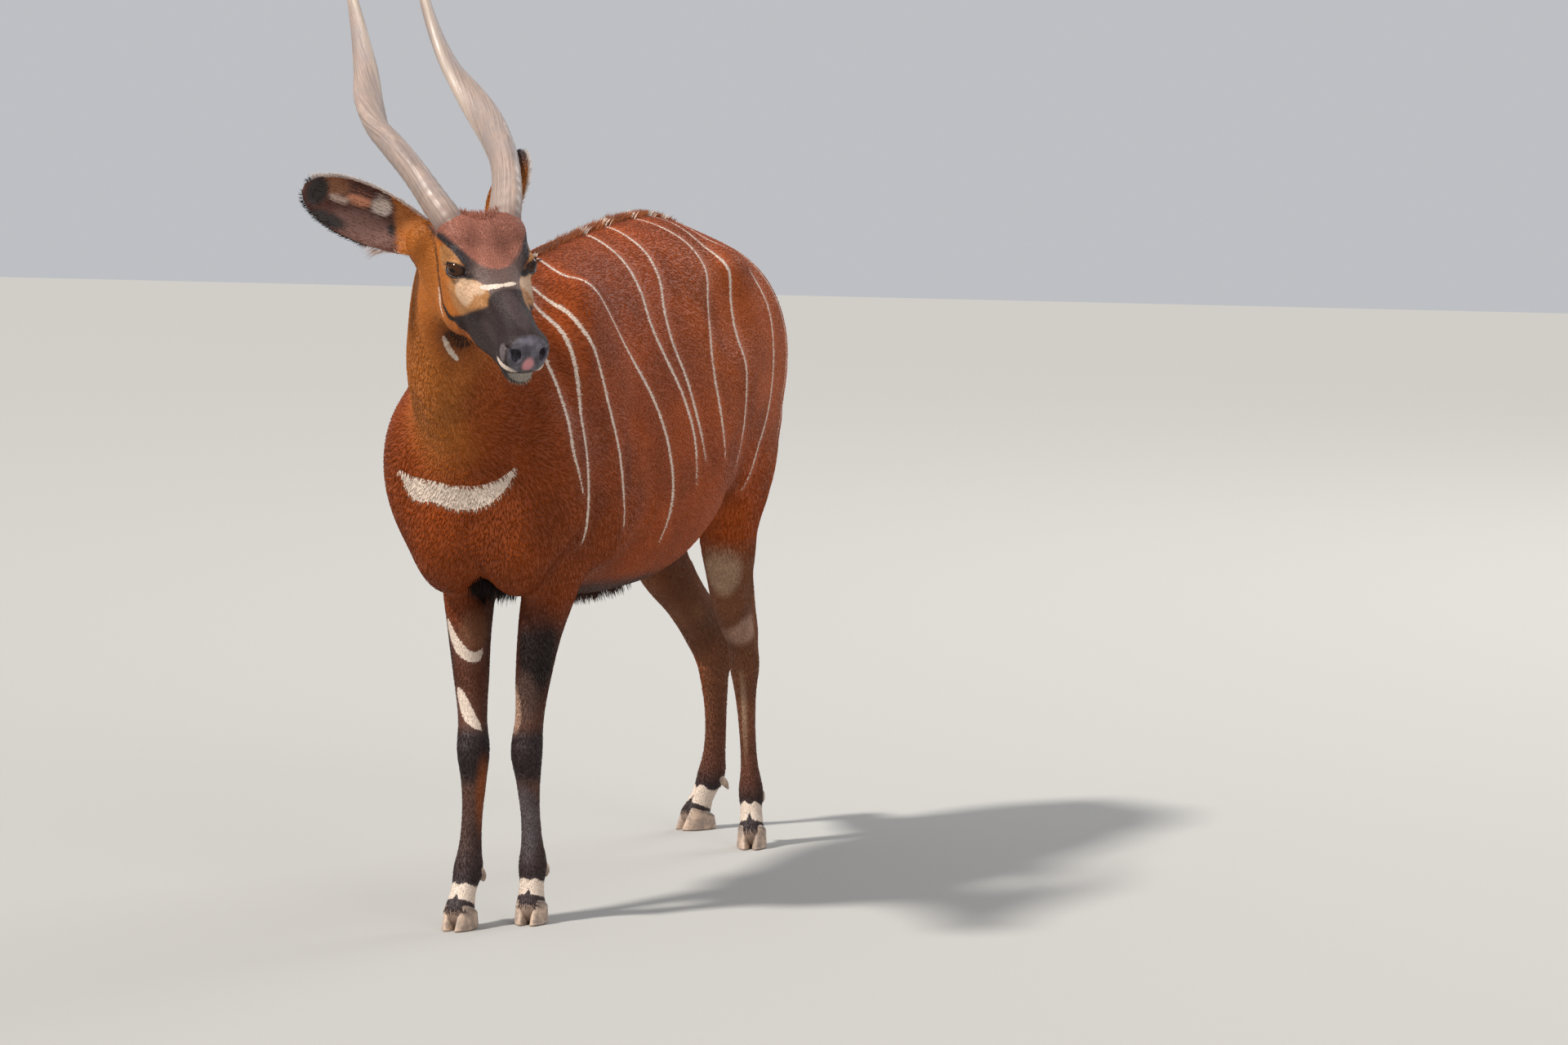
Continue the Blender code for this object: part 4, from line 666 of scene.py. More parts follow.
# Hair of one ear: number along the upper and the lower rim, inside it and on its back, and the width
EAR_RIM_HAIR = (760, 420)
EAR_INNER_HAIR = 1000
EAR_BACK_FUR = 2600
EAR_HAIR_WIDTH = 0.0011
EAR_FUR_WIDTH = 0.0018

# Colours inside and behind the ears
EAR_DARK = (0.020, 0.013, 0.012)
EAR_RED = (0.075, 0.020, 0.011)
EAR_SLATE = (0.070, 0.052, 0.052)
EAR_WHITE = (0.640, 0.520, 0.460)
EAR_TASSEL = (0.420, 0.210, 0.110)
# Patches inside the ears: share of the length and height across the blade, radii, colour
EAR_PATCHES = (
    ((0.50, -0.030), (0.26, 0.030), (0.170, 0.080, 0.062)),
    ((0.80, 0.028), (0.11, 0.024), (0.230, 0.085, 0.035)),
    ((0.90, 0.004), (0.08, 0.034), EAR_DARK),
    ((0.76, -0.040), (0.16, 0.014), EAR_DARK),
    ((0.60, 0.016), (0.11, 0.011), (0.560, 0.220, 0.120)),
    ((0.74, 0.004), (0.08, 0.008), (0.470, 0.330, 0.270)),
    ((0.30, -0.012), (0.05, 0.010), EAR_DARK),
    ((0.44, 0.020), (0.080, 0.020), EAR_WHITE),
)
# Where the orange of an ear's base ends: share of the length, and how much further for each metre across
EAR_BASE = (0.30, 2.0)

# The distant lights: name, way from the animal to the light, strength, breadth in degrees, colour
SUNS = (
    ("Key", (-0.42, -0.60, 0.82), 4.1, 6.0, (1.0, 0.965, 0.91)),
    ("Side", (0.85, -0.62, 0.50), 0.55, 30.0, (1.0, 0.97, 0.93)),
)
# The light behind: place, the point it shines at, size, power, colour
RIM_LIGHT = ((3.0, 8.0, 6.0), (0.0, 0.0, 0.9), 4.0, 260.0, (0.96, 0.98, 1.0))
SKY = ((0.93, 0.95, 1.0, 1.0), 0.55)
FLOOR_TONE = (0.40, 0.39, 0.37, 1.0)
FLOOR_HALF = 18.0

# The camera: place in the drawing frame, its right, up and back directions, and its lens
CAMERA_PLACE = (4.594, -10.972, 1.885)
CAMERA_RIGHT = (0.9336, 0.3584, 0.0)
CAMERA_BACK = (0.3567, -0.9291, 0.0976)
CAMERA_LENS = 140.66


def rotation_x(degrees):
    """The rotation about X as a numpy matrix."""
    return np.array(Matrix.Rotation(math.radians(degrees), 3, "X"))


def turned(degrees):
    """The rotation about the vertical of a pair (x, y), to the left where the animal faces -Y."""
    c, s = math.cos(math.radians(degrees)), math.sin(math.radians(degrees))
    return np.array(((c, -s), (s, c)))


def unit(vector):
    vector = np.array(vector, float)
    return vector / np.linalg.norm(vector)


def unit_rows(vectors):
    """A table of vectors, each at length 1."""
    return vectors / np.maximum(np.linalg.norm(vectors, axis=1), TINY)[:, None]


def flattened(vectors, normals):
    """Vectors without the share of them that points along the normals."""
    return vectors - np.einsum("ij,ij->i", vectors, normals)[:, None] * normals


def mirrored(points, axis):
    """The points of both sides laid on the left side."""
    folded = np.array(points, order="C")
    folded[:, axis] = np.abs(folded[:, axis])
    return folded


def share_out(points, centre, radii):
    """How far out in a round region points lie: 0 at its centre, 1 at its edge."""
    return np.linalg.norm((points - np.array(centre)) / np.array(radii), axis=1)


def side_name(stem, side):
    return stem + ("_left" if side > 0 else "_right")


def read_columns(table, values, columns, key=0):
    """Columns of a table, read at values of its key column."""
    return [np.interp(values, table[:, key], table[:, c]) for c in columns]


def head_axes():
    """Columns f, l and u of the head, in the drawing frame."""
    yaw, pitch, roll = (math.radians(a) for a in (HEAD_YAW, HEAD_PITCH, HEAD_ROLL))
    ahead = (math.sin(yaw), -math.cos(yaw))
    f = Vector((ahead[0] * math.cos(pitch), ahead[1] * math.cos(pitch), -math.sin(pitch)))
    u = Vector((ahead[0] * math.sin(pitch), ahead[1] * math.sin(pitch), math.cos(pitch)))
    u.rotate(Matrix.Rotation(roll, 3, f))
    return np.array((f, u.cross(f), u)).T


HEAD_AXES = head_axes()


def to_head(points):
    return (points - np.array(HEAD_ORIGIN)) @ HEAD_AXES / HEAD_SIZE


def from_head(points):
    return np.asarray(points) * HEAD_SIZE @ HEAD_AXES.T + np.array(HEAD_ORIGIN)


def near_head(points, reach):
    """Which points lie within reach of the head's middle."""
    return np.linalg.norm(points - from_head(HEAD_MIDDLE), axis=1) < reach


def eye_axes():
    """The ways along the lids, up between them and out of the left eye, about the head's axes."""
    outward = unit(EYE_OUTWARD)
    up = unit(np.array((0, 0, 1.0)) - outward[2] * outward)
    return np.cross(up, outward), up, outward


def almond(across, rise):
    """The shape of the lids' opening: below 1 inside it."""
    length, height = LID_OPENING
    return np.sqrt((across / length) ** 2 + ((rise + LID_SLANT * across) / height) ** 2)


# Distance fields


def smooth_min(a, b, blend):
    """The union of two fields, rounded over about blend metres."""
    h = np.clip(0.5 + 0.5 * (b - a) / blend, 0.0, 1.0)
    return b + h * (a - b) - blend * h * (1.0 - h)


def hermite_table(stations, count):
    """Stations joined by a smooth curve, resampled evenly along their first column."""
    rows = np.array(stations, float)
    x = rows[:, 0]
    slope = np.gradient(rows, x, axis=0)
    t = np.linspace(x[0], x[-1], count)
    i = np.clip(np.searchsorted(x, t) - 1, 0, len(x) - 2)
    width = (x[i + 1] - x[i])[:, None]
    s = ((t - x[i]) / width[:, 0])[:, None]
    return (
        (1 + 2 * s) * (1 - s) ** 2 * rows[i]
        + s * (1 - s) ** 2 * width * slope[i]
        + s * s * (3 - 2 * s) * rows[i + 1]
        + s * s * (s - 1) * width * slope[i + 1]
    )


def ellipsoid(points, centre, radii, axes=None):
    q = points - np.array(centre)
    if axes is not None:
        q = q @ axes
    radii = np.array(radii)
    k0 = np.linalg.norm(q / radii, axis=1)
    k1 = np.linalg.norm(q / radii**2, axis=1)
    return k0 * (k0 - 1.0) / np.maximum(k1, 1e-9)


def loft(across, along, height, table, caps):
    """A body whose sections are ovals with their own top, bottom, width and roundness."""
    t = np.clip(along, table[0, 0], table[-1, 0])
    top, bottom, half, share, n_up, n_low = read_columns(table, t, range(1, 7))
    middle = bottom + share * (top - bottom)
    rise = height - middle
    reach = np.where(rise > 0, top - middle, middle - bottom)
    n = np.where(rise > 0, n_up, n_low)
    past = along - t
    cap = np.where(past < 0, caps[0], caps[1])
    oval = ((np.abs(across) / half) ** n + (np.abs(rise) / reach) ** n) ** (1.0 / n)
    r = np.sqrt(oval**2 + (past / cap) ** 2) + 1e-9
    away = np.sqrt(across**2 + rise**2 + past**2)
    return away * (1.0 - 1.0 / r)


def nearest_on_line(points, line):
    """Squared distance of points from a line, their offset from it and their place in steps along it."""
    nearest = np.full(len(points), np.inf)
    offset = np.zeros_like(points)
    place = np.zeros(len(points))
    for i, (a, b) in enumerate(zip(line[:-1], line[1:])):
        run = b - a
        t = np.clip((points - a) @ run / (run @ run), 0.0, 1.0)
        away = points - a - t[:, None] * run
        square = np.einsum("ij,ij->i", away, away)
        closer = square < nearest
        nearest[closer] = square[closer]
        offset[closer] = away[closer]
        place[closer] = i + t[closer]
    return nearest, offset, place


class Tube:
    """A limb of oval sections strung on a curved spine. side is the direction of the half width,
    turned about the vertical by a sixth column of the stations, if there is one."""

    def __init__(self, stations, side, steps=4):
        rows = np.array(stations, float)
        length = np.r_[0, np.cumsum(np.linalg.norm(np.diff(rows[:, :3], axis=0), axis=1))]
        table = hermite_table(np.c_[length, rows], steps * (len(rows) - 1) + 1)
        self.spine, self.half = table[:, 1:4], table[:, 4:6]
        self.axis = unit_rows(np.gradient(self.spine, axis=0))
        self.side = np.tile(np.array(side, float), (len(table), 1))
        if rows.shape[1] > 5:
            for i, degrees in enumerate(table[:, 6]):
                self.side[i, :2] = turned(degrees) @ self.side[i, :2]
        margin = self.half.max() + 0.07
        self.low, self.high = self.spine.min(0) - margin, self.spine.max(0) + margin

    def __call__(self, points):
        nearest, offset, place = nearest_on_line(points, self.spine)
        knots = np.arange(len(self.spine))
        axis, side = (
            np.stack([np.interp(place, knots, v[:, c]) for c in range(3)], 1)
            for v in (self.axis, self.side)
        )
        axis = unit_rows(axis)
        side = unit_rows(flattened(side, axis))
        front = np.cross(axis, side)
        wide = np.interp(place, knots, self.half[:, 0])
        deep = np.interp(place, knots, self.half[:, 1])
        across = np.einsum("ij,ij->i", offset, side) / wide
        ahead = np.einsum("ij,ij->i", offset, front) / deep
        past = np.einsum("ij,ij->i", offset, axis) / np.minimum(wide, deep)
        r = np.sqrt(across**2 + ahead**2 + past**2) + 1e-9
        return np.sqrt(nearest) * (1.0 - 1.0 / r)


def leg_stations(name, stations):
    """A leg's drawn stations set in its stance, each with its turn about the vertical at the end."""
    turn, heights = STANCES[name]
    z, x, stride = np.array(heights)[::-1].T
    axis = TURN_AXIS[name.split("_")[0]]
    low, high = TURN_HEIGHTS
    placed = []
    for y, height, wide, deep in stations:
        here = np.array((np.interp(height, z, x), axis + np.interp(height, z, stride)))
        degrees = turn * min(max((high - height) / (high - low), 0.0), 1.0)
        here = here + turned(degrees) @ np.array((0.0, y - axis))
        placed.append((*here, height, wide, deep, degrees))
    return np.array(placed)


def add_within(value, points, low, high, field, blend):
    """Joins a form into value, worked out only for the points inside its box."""
    near = np.all((points > low) & (points < high), axis=1)
    if near.any():
        value[near] = smooth_min(value[near], field(points[near]), blend)


class Flesh:
    """The whole body's field. A call gives the distance of points, below zero inside."""

    def __init__(self):
        self.trunk = hermite_table(TRUNK, 160)
        self.skull = hermite_table(SKULL, 80)
        self.jaw = hermite_table(JAW, 60)
        self.neck = Tube(NECK, (1, 0, 0))
        self.mouth = Tube(MOUTH_LINE, (0, 0, 1))
        self.limbs = []
        for name in STANCES:
            front = name.startswith("front")
            stations = leg_stations(name, FORELEG if front else HINDLEG)
            self.limbs.append((Tube(stations, (1, 0, 0)), 0.030))
            if not front:
                self.limbs.append((Tube(leg_stations(name, HEEL), (1, 0, 0)), 0.028))

    def lids(self, q):
        """The lids, a rim over the eyeball, and the almond open between them in front of it."""
        along, up, outward = eye_axes()
        q = q - np.array(EYE_CENTRE)
        height = LID_OPENING[1]
        shape = almond(q @ along, q @ up)
        away = np.linalg.norm(q, axis=1) - EYE_RADIUS
        rim = np.maximum(away - LID_THICKNESS, height * (1.0 - shape))
        opening = np.maximum(height * (shape - 1.0), 0.005 - np.minimum(q @ outward, away + 0.006))
        return rim, opening

    def head(self, points):
        q = to_head(points)
        f, l, u = q.T
        value = loft(l, f, u, self.skull, SKULL_CAPS)
        value = smooth_min(value, loft(l, f, u, self.jaw, JAW_CAPS), 0.018)
        q = mirrored(q, 1)
        for centre, radii, blend in HEAD_FORMS:
            value = smooth_min(value, ellipsoid(q, centre, radii), blend)
        rim, opening = self.lids(q)
        value = smooth_min(value, rim, 0.003)
        value = np.maximum(value, -opening)
        centre, radii, blend = NOSTRIL
        value = -smooth_min(-value, ellipsoid(q, centre, radii), blend)
        value = -smooth_min(-value, self.mouth(q), 0.004)
        return value * HEAD_SIZE

    def __call__(self, points):
        sway, far, near = CHEST_SWAY
        across = points[:, 0] - sway * np.clip((near - points[:, 1]) / (near - far), 0.0, 1.0)
        value = loft(across, points[:, 1], points[:, 2], self.trunk, TRUNK_CAPS)
        half = np.c_[np.abs(across), points[:, 1:]]
        for centre, radii, lean, blend in TRUNK_FORMS:
            reach = max(radii) + 0.10
            low, high = np.array(centre) - reach, np.array(centre) + reach
            axes = rotation_x(lean)
            add_within(value, half, low, high, lambda p: ellipsoid(p, centre, radii, axes), blend)
        centre, radii, _, blend = FLANK_HOLLOW
        near = np.all(np.abs(half - centre) < 0.25, axis=1)
        value[near] = -smooth_min(-value[near], ellipsoid(half[near], centre, radii), blend)
        neck = self.neck
        add_within(value, points, neck.low, neck.high, neck, 0.070)
        for tube, blend in self.limbs:
            add_within(value, points, tube.low, tube.high, tube, blend)
        middle = from_head(HEAD_MIDDLE)
        add_within(value, points, middle - 0.36, middle + 0.36, self.head, 0.030)
        return value


# Meshing


def sample(field, low, high, step):
    """The field on a grid, worked out in full only near the surface. The border is left outside."""
    block = 4
    counts = [math.ceil((b - a) / step / block) for a, b in zip(low, high)]
    axes = [a + step * block * np.arange(n + 1) for a, n in zip(low, counts)]
    corners = np.stack(np.meshgrid(*axes, indexing="ij"), -1).reshape(-1, 3)
    coarse = field(corners).reshape([n + 1 for n in counts])
    close = np.abs(coarse) < step * block * 1.7
    cell = np.zeros(counts, bool)
    for i in (0, 1):
        for j in (0, 1):
            for k in (0, 1):
                cell |= close[i : i + counts[0], j : j + counts[1], k : k + counts[2]]
    shape = [n * block + 1 for n in counts]
    values = np.zeros(shape, np.float64)
    near = np.zeros(shape, bool)
    fill = coarse[:-1, :-1, :-1]
    for axis in range(3):
        fill = np.repeat(fill, block, axis)
        cell = np.repeat(cell, block, axis)
    values[:-1, :-1, :-1] = fill
    near[:-1, :-1, :-1] = cell
    for axis in range(3):
        near |= np.roll(near, 1, axis)
    index = np.argwhere(near)
    values[near] = field(np.array(low) + step * index)
    for axis in range(3):
        edge = [slice(None)] * 3
        for end in (0, -1):
            edge[axis] = end
            values[tuple(edge)] = np.maximum(values[tuple(edge)], step * 0.5)
    return values


def windows(shape, corners):
    """For each corner of a grid cell, the slice of the grid that holds that corner of every cell."""
    return [tuple(slice(c, n - 1 + c) for c, n in zip(corner, shape)) for corner in corners]


def untangle(values, step):
    """Fills the grid's corners where the surface would touch itself along an edge or at a point."""
    full = -0.05 * step
    changed = True
    while changed:
        changed = False
        for axis in range(3):
            shape = list(values.shape)
            shape[axis] += 1
            square = [(0, 0), (1, 0), (1, 1), (0, 1)]
            faces = windows(shape, [(*c[:axis], 0, *c[axis:]) for c in square])
            a, b, c, d = (values[w] < 0 for w in faces)
            tangled = (a == c) & (b == d) & (a != b)
            for window in faces:
                values[window][tangled] = np.minimum(values[window][tangled], full)
            changed |= bool(tangled.any())
        cube = windows(values.shape, [(i, j, k) for i in (0, 1) for j in (0, 1) for k in (0, 1)])
        inside = np.array([values[w] < 0 for w in cube])
        count = inside.sum(axis=0)
        tangled = np.zeros(count.shape, bool)
        for number in range(4):
            near, far = inside[number], inside[7 - number]
            tangled |= (near & far & (count == 2)) | (~near & ~far & (count == 6))
        for window in cube:
            values[window][tangled] = np.minimum(values[window][tangled], full)
        changed |= bool(tangled.any())
    return values


def surface_net(values, low, step):
    """One vertex in each cell that the surface crosses, and one quad for each crossed grid edge."""
    inside = values < 0
    corner = [(i, j, k) for i in (0, 1) for j in (0, 1) for k in (0, 1)]
    size = [n - 1 for n in values.shape]
    count = np.zeros(size, np.int8)
    for i, j, k in corner:
        count += inside[i : i + size[0], j : j + size[1], k : k + size[2]]
    cells = np.argwhere((count > 0) & (count < 8))
    number = np.full(size, -1)
    number[tuple(cells.T)] = np.arange(len(cells))
    total = np.zeros((len(cells), 3))
    crossings = np.zeros(len(cells))
    for a in corner:
        for axis in range(3):
            if a[axis]:
                continue
            b = np.array(a)
            b[axis] = 1
            va = values[tuple((cells + a).T)]
            vb = values[tuple((cells + b).T)]
            cross = (va < 0) != (vb < 0)
            place = np.tile(np.array(a, float), (len(cells), 1))
            place[:, axis] = va / np.where(cross, va - vb, 1.0)
            total[cross] += place[cross]
            crossings += cross
    vertices = np.array(low) + step * (cells + total / crossings[:, None])
    faces = []
    for axis in range(3):
        one, two = (axis + 1) % 3, (axis + 2) % 3
        a = np.take(inside, range(values.shape[axis] - 1), axis)
        b = np.take(inside, range(1, values.shape[axis]), axis)
        points = np.argwhere(a != b)
        keep = (points[:, one] > 0) & (points[:, two] > 0)
        keep &= (points[:, one] < size[one]) & (points[:, two] < size[two])
        points = points[keep]
        e1, e2 = np.eye(3, dtype=int)[[one, two]]
        quad = [points, points - e1, points - e1 - e2, points - e2]
        quad = np.stack([number[tuple(p.T)] for p in quad], 1)
        turned = ~a[tuple(points.T)]
        quad[turned] = quad[turned][:, ::-1]
        faces.append(quad)
    return vertices, np.concatenate(faces)[:, ::-1]


def settle(field, vertices, rounds=2, nudge=0.0006):
    """Moves vertices onto the surface by Newton steps."""
    for _ in range(rounds):
        value = field(vertices)
        slope = np.zeros_like(vertices)
        for axis in range(3):
            step = np.zeros(3)
            step[axis] = nudge
            slope[:, axis] = (field(vertices + step) - value) / nudge
        square = np.maximum(np.einsum("ij,ij->i", slope, slope), 0.2)
        vertices = vertices - slope * (value / square)[:, None]
    return vertices


# Shapes and marks drawn along lines


def smooth(low, high, values):
    """0 below low, 1 above high, and a smooth rise between them."""
    t = np.clip((values - low) / (high - low), 0.0, 1.0)
    return t * t * (3 - 2 * t)


def curve_points(path, count=24):
    """A path of a few points as a smooth line of many."""
    rows = np.array(path, float)
    length = np.r_[0, np.cumsum(np.linalg.norm(np.diff(rows, axis=0), axis=1))]
    return hermite_table(np.c_[length, rows], count)[:, 1:]


def path_distance(points, path):
    """Distance of points from a line, and how far along it they lie, 0 to 1."""
    nearest, _, place = nearest_on_line(points, path)
    return np.sqrt(nearest), place / (len(path) - 1)


def relief(points, folds):
    """Height of ridges, and of grooves below zero, at the points."""
    height = np.zeros(len(points))
    for path, width, rise in folds:
        line = curve_points(path, 14)
        near = np.all((points > line.min(0) - 3 * width) & (points < line.max(0) + 3 * width), axis=1)
        if near.any():
            away, place = path_distance(points[near], line)
            ends = smooth(0.0, 0.2, place) * smooth(0.0, 0.2, 1 - place)
            height[near] += rise * (0.25 + 0.75 * ends) * np.exp(-((away / width) ** 2))
    return height


def leg_of(points):
    """For each leg, which points belong to it and where they lie about its own line: ahead, aside, z."""
    for name in STANCES:
        front = name.startswith("front")
        rows = leg_stations(name, FORELEG if front else HINDLEG)[::-1]
        z = points[:, 2]
        x, y, degrees = read_columns(rows, z, (0, 1, 5), 2)
        c, s = np.cos(np.radians(degrees)), np.sin(np.radians(degrees))
        dx, dy = points[:, 0] - x, points[:, 1] - y
        aside, behind = c * dx + s * dy, -s * dx + c * dy
        side = np.sign(rows[0, 0])
        inside = (z < 0.70) & (points[:, 0] * side > 0.0) & (np.abs(behind) < 0.16)
        inside &= (points[:, 1] < 0.0) == front
        yield name, inside, np.c_[-behind, aside * side, z]


def coat_depth(points):
    legs = 1.0 - smooth(0.45, 0.75, points[:, 2])
    depth = COAT_DEPTH["body"] + (COAT_DEPTH["leg"] - COAT_DEPTH["body"]) * legs
    f = to_head(points)[:, 0]
    face = smooth(-0.03, 0.10, f) * near_head(points, COAT_REACH)
    return depth + (COAT_DEPTH["face"] - depth) * face


class Skin(Flesh):
    """The field of the skin: the flesh and tail with their folds, drawn in by the coat's depth."""

    def __init__(self):
        super().__init__()
        self.tail = Tube(TAIL, (1, 0, 0))

    def head(self, points):
        return super().head(points) - relief(mirrored(to_head(points), 1), HEAD_RELIEF) * HEAD_SIZE

    def __call__(self, points):
        value = super().__call__(points)
        add_within(value, points, self.tail.low, self.tail.high, self.tail, 0.020)
        value -= relief(mirrored(points, 0), BODY_RELIEF) + relief(points, NECK_RELIEF)
        for name, inside, local in leg_of(points):
            if inside.any():
                value[inside] -= relief(local[inside], LEG_RELIEF[name.split("_")[0]])
        return value + coat_depth(points)


# Marks and colours of the coat


def tinted(colour, share, tone):
    """A table of colours, each taken towards a tone by its share."""
    return colour + share[:, None] * (np.array(tone) - colour)


def patches(colour, points, rows, core=0.50):
    """The colour with soft round patches over it, in their order. core is the share painted in full."""
    for centre, radii, tone, strength in rows:
        share = strength * (1.0 - smooth(core, 1.0, share_out(points, centre, radii)))
        colour = tinted(colour, share, tone)
    return colour


def line_edge(points, path, half):
    """Distance outside a mark drawn along a path, below zero inside it. The mark thins to its ends."""
    away, place = path_distance(points, curve_points(path))
    taper = np.sqrt(np.clip(4 * place * (1 - place), 0.0, 1.0))
    return away - half * (0.35 + 0.65 * taper)


def stripe_edge(points):
    """Distance outside the nearest white stripe of the flanks. The right side's differ a little."""
    middle, high, wide = STRIPE_CENTRE
    x, y, z = points.T
    turn = np.degrees(np.arctan2((z - middle) / high, np.abs(x) / wide))
    run = STRIPE_ARC * math.pi / 180
    left = x > 0
    edge = np.full(len(points), 1.0)
    for number, stripe in enumerate(STRIPES):
        lowest = min(stripe)[0]
        table = hermite_table(sorted(stripe), 60)
        degrees = turn + np.where(left, 0.0, 4.0 * math.sin(2.3 * number))
        line = np.interp(degrees, table[:, 0], table[:, 1])
        slope = np.interp(degrees, table[:, 0], np.gradient(table[:, 1], table[:, 0]))
        shift = np.where(left, 0.0, 0.016 * math.sin(1.7 * number + 1.0))
        away = np.abs(y - line - shift) / np.sqrt(1 + (slope / run) ** 2)
        past = np.maximum(lowest - degrees, 0.0) * run
        half = STRIPE_HALF * (0.45 + 0.55 * smooth(lowest - 1.0, lowest + 14.0, degrees))
        edge = np.minimum(edge, np.hypot(away, past) - half)
    return np.where((z > 0.66) & (np.abs(x) > 0.012) & (y > -0.58), edge, 1.0)


def crescent_edge(points):
    """Distance outside the white crescent, as far as it lies on the front of the neck."""
    x, y, z = points.T
    low, high = read_columns(hermite_table(CRESCENT, 40), x, (1, 2))
    edge = np.maximum(np.maximum(low - z, z - high), np.abs(x - CRESCENT_MIDDLE) - CRESCENT_HALF)
    return np.where(y < CRESCENT_FRONT, edge, 1.0)


def lid_edge(points):
    """Distance from the edge of the lids' opening, over the skin near an eye."""
    local = mirrored(to_head(points), 1) - np.array(EYE_CENTRE)
    along, up, outward = eye_axes()
    edge = LID_OPENING[1] * (almond(local @ along, local @ up) - 1.0)
    return np.where(local @ outward > 0.004, edge, 1.0)


def paint_leg(name, points, local, colour, edge):
    """The colour of one leg and the distance outside its white marks, from those of the body above."""
    kind = name.split("_")[0]
    z = points[:, 2]
    rows = LEG_TINTS[kind][::-1]
    heights = [r[0] for r in rows]
    top = heights[-1]
    tint = np.stack([np.interp(z, heights, [r[1][c] for r in rows]) for c in range(3)], 1)
    # Patches of this leg; the black one of the left foreleg is partly painted shade
    tint = patches(tint, points, [row[1:] for row in LEG_PATCHES if row[0] == name])
    colour = tinted(colour, 1.0 - smooth(top - 0.10, top, z), tint)
    for leg, path, half in LEG_WHITES:
        if leg == name:
            edge = np.minimum(edge, line_edge(points, path, half))
    lowest, highest, bow = PASTERN_WHITE[kind]
    aside = np.clip(np.abs(local[:, 1]) / 0.022, 0.0, 1.0)
    lobe = bow * np.sin(math.pi * aside)
    notch = bow * 2.0 * (1.0 - smooth(0.0, 0.25, aside))
    slope = CORONET_SLOPE * local[:, 0]
    band = np.maximum(lowest + slope + notch - z, z - highest - 0.4 * slope - lobe)
    return colour, np.minimum(edge, band)


def paint_head(points, colour, edge):
    """The colour of the head and the distance outside its white marks, from those of the neck."""
    q = to_head(points)
    away, where, width = BRIDGE_SHIFT
    shift = away * np.exp(-(((q[:, 0] - where) / width) ** 2))
    face = mirrored(q + np.outer(shift, (0.0, 1.0, 0.0)), 1)
    f, l, u = face.T
    colour = patches(colour, face, HEAD_PATCHES, 0.70)
    dark_from, maroon_from = read_columns(np.array(CROWN), f, (1, 2))
    outer = smooth(0.030, 0.060, l)[:, None]
    crown = np.array(GREY_BROWN) * (1 - outer) + np.array(CROWN_SIDE) * outer
    crown = tinted(crown, smooth(-0.007, 0.007, u - l - maroon_from), MAROON)
    share = smooth(-0.003, 0.004, u - l - dark_from) * smooth(-0.06, -0.02, f)
    colour = tinted(colour, share, crown)
    border = np.array(MUZZLE_BORDER)
    past = f - np.interp(u, border[:, 0], border[:, 1])
    colour = tinted(colour, smooth(-0.006, 0.007, past), MUZZLE)
    colour = patches(colour, q, LEFT_PATCHES, 0.70)
    colour = patches(colour, face, FRONT_PATCHES, 0.60)
    # Dark lines of the head; the one along the rear edge of the cheek is painted shade
    for path, half in HEAD_LINES:
        colour = tinted(colour, 1.0 - smooth(-0.002, 0.004, line_edge(face, path, half)), BLACK)
    colour = tinted(colour, 1.0 - smooth(0.0030, 0.0060, lid_edge(points)), BLACK)
    for path, half in HEAD_WHITES:
        edge = np.minimum(edge, line_edge(face, path, half))
    return colour, np.minimum(edge, line_edge(q * (1, -1, 1), *JAW_WHITE))


def paint(points):
    """The coat's colour without its white marks, and the distance outside those marks."""
    colour = np.tile(np.array(CHESTNUT), (len(points), 1))
    colour = patches(colour, mirrored(points, 0), BODY_PATCHES)
    # The neck's patches, with painted shadow of the head over the darker coat on the left of the throat
    colour = patches(colour, points, NECK_PATCHES_AND_SHADOW)
    edge = np.minimum(stripe_edge(points), crescent_edge(points))
    for name, inside, local in leg_of(points):
        inside = inside & (points[:, 2] < 0.66)
        if inside.any():
            colour[inside], edge[inside] = paint_leg(
                name, points[inside], local[inside], colour[inside], edge[inside]
            )
    near = near_head(points, COLOUR_REACH)
    if near.any():
        colour[near], edge[near] = paint_head(points[near], colour[near], edge[near])
    return colour, edge


def bareness(points):
    """1 on the bare pad of the nose and the rim of the lids, 0 in the coat, and the pad's pink share."""
    q = to_head(points)
    pad = 1.0 - smooth(0.80, 1.0, share_out(mirrored(q, 1), *NOSE_PAD))
    pad = np.maximum(pad, 1.0 - smooth(0.0006, 0.0022, lid_edge(points)))
    return pad, 1.0 - smooth(0.5, 1.0, share_out(q, *PINK_PATCH))


# The skin's regions, an unwrap of its shape and the way the hair lies


def region_of(points):
    """The number of each point's region."""
    region = np.zeros(len(points), int)
    place, way = NECK_PLANE
    region[(points - place) @ unit(way) > 0] = NUMBER["neck"]
    ahead = (points - from_head(NAPE)) @ (HEAD_AXES @ unit(NAPE_NORMAL)) > 0
    region[ahead & (points[:, 2] > 1.0)] = NUMBER["head"]
    for name, inside, _ in leg_of(points):
        region[inside & (points[:, 2] < 0.62)] = NUMBER[name]
    near = np.where((points[:, 1] > 0.66) & (np.abs(points[:, 0]) < 0.06) & (points[:, 2] > 0.5))[0]
    if len(near):
        away = path_distance(points[near], curve_points([r[:3] for r in TAIL]))[0]
        region[near[away < 0.034]] = NUMBER["tail"]
    return region


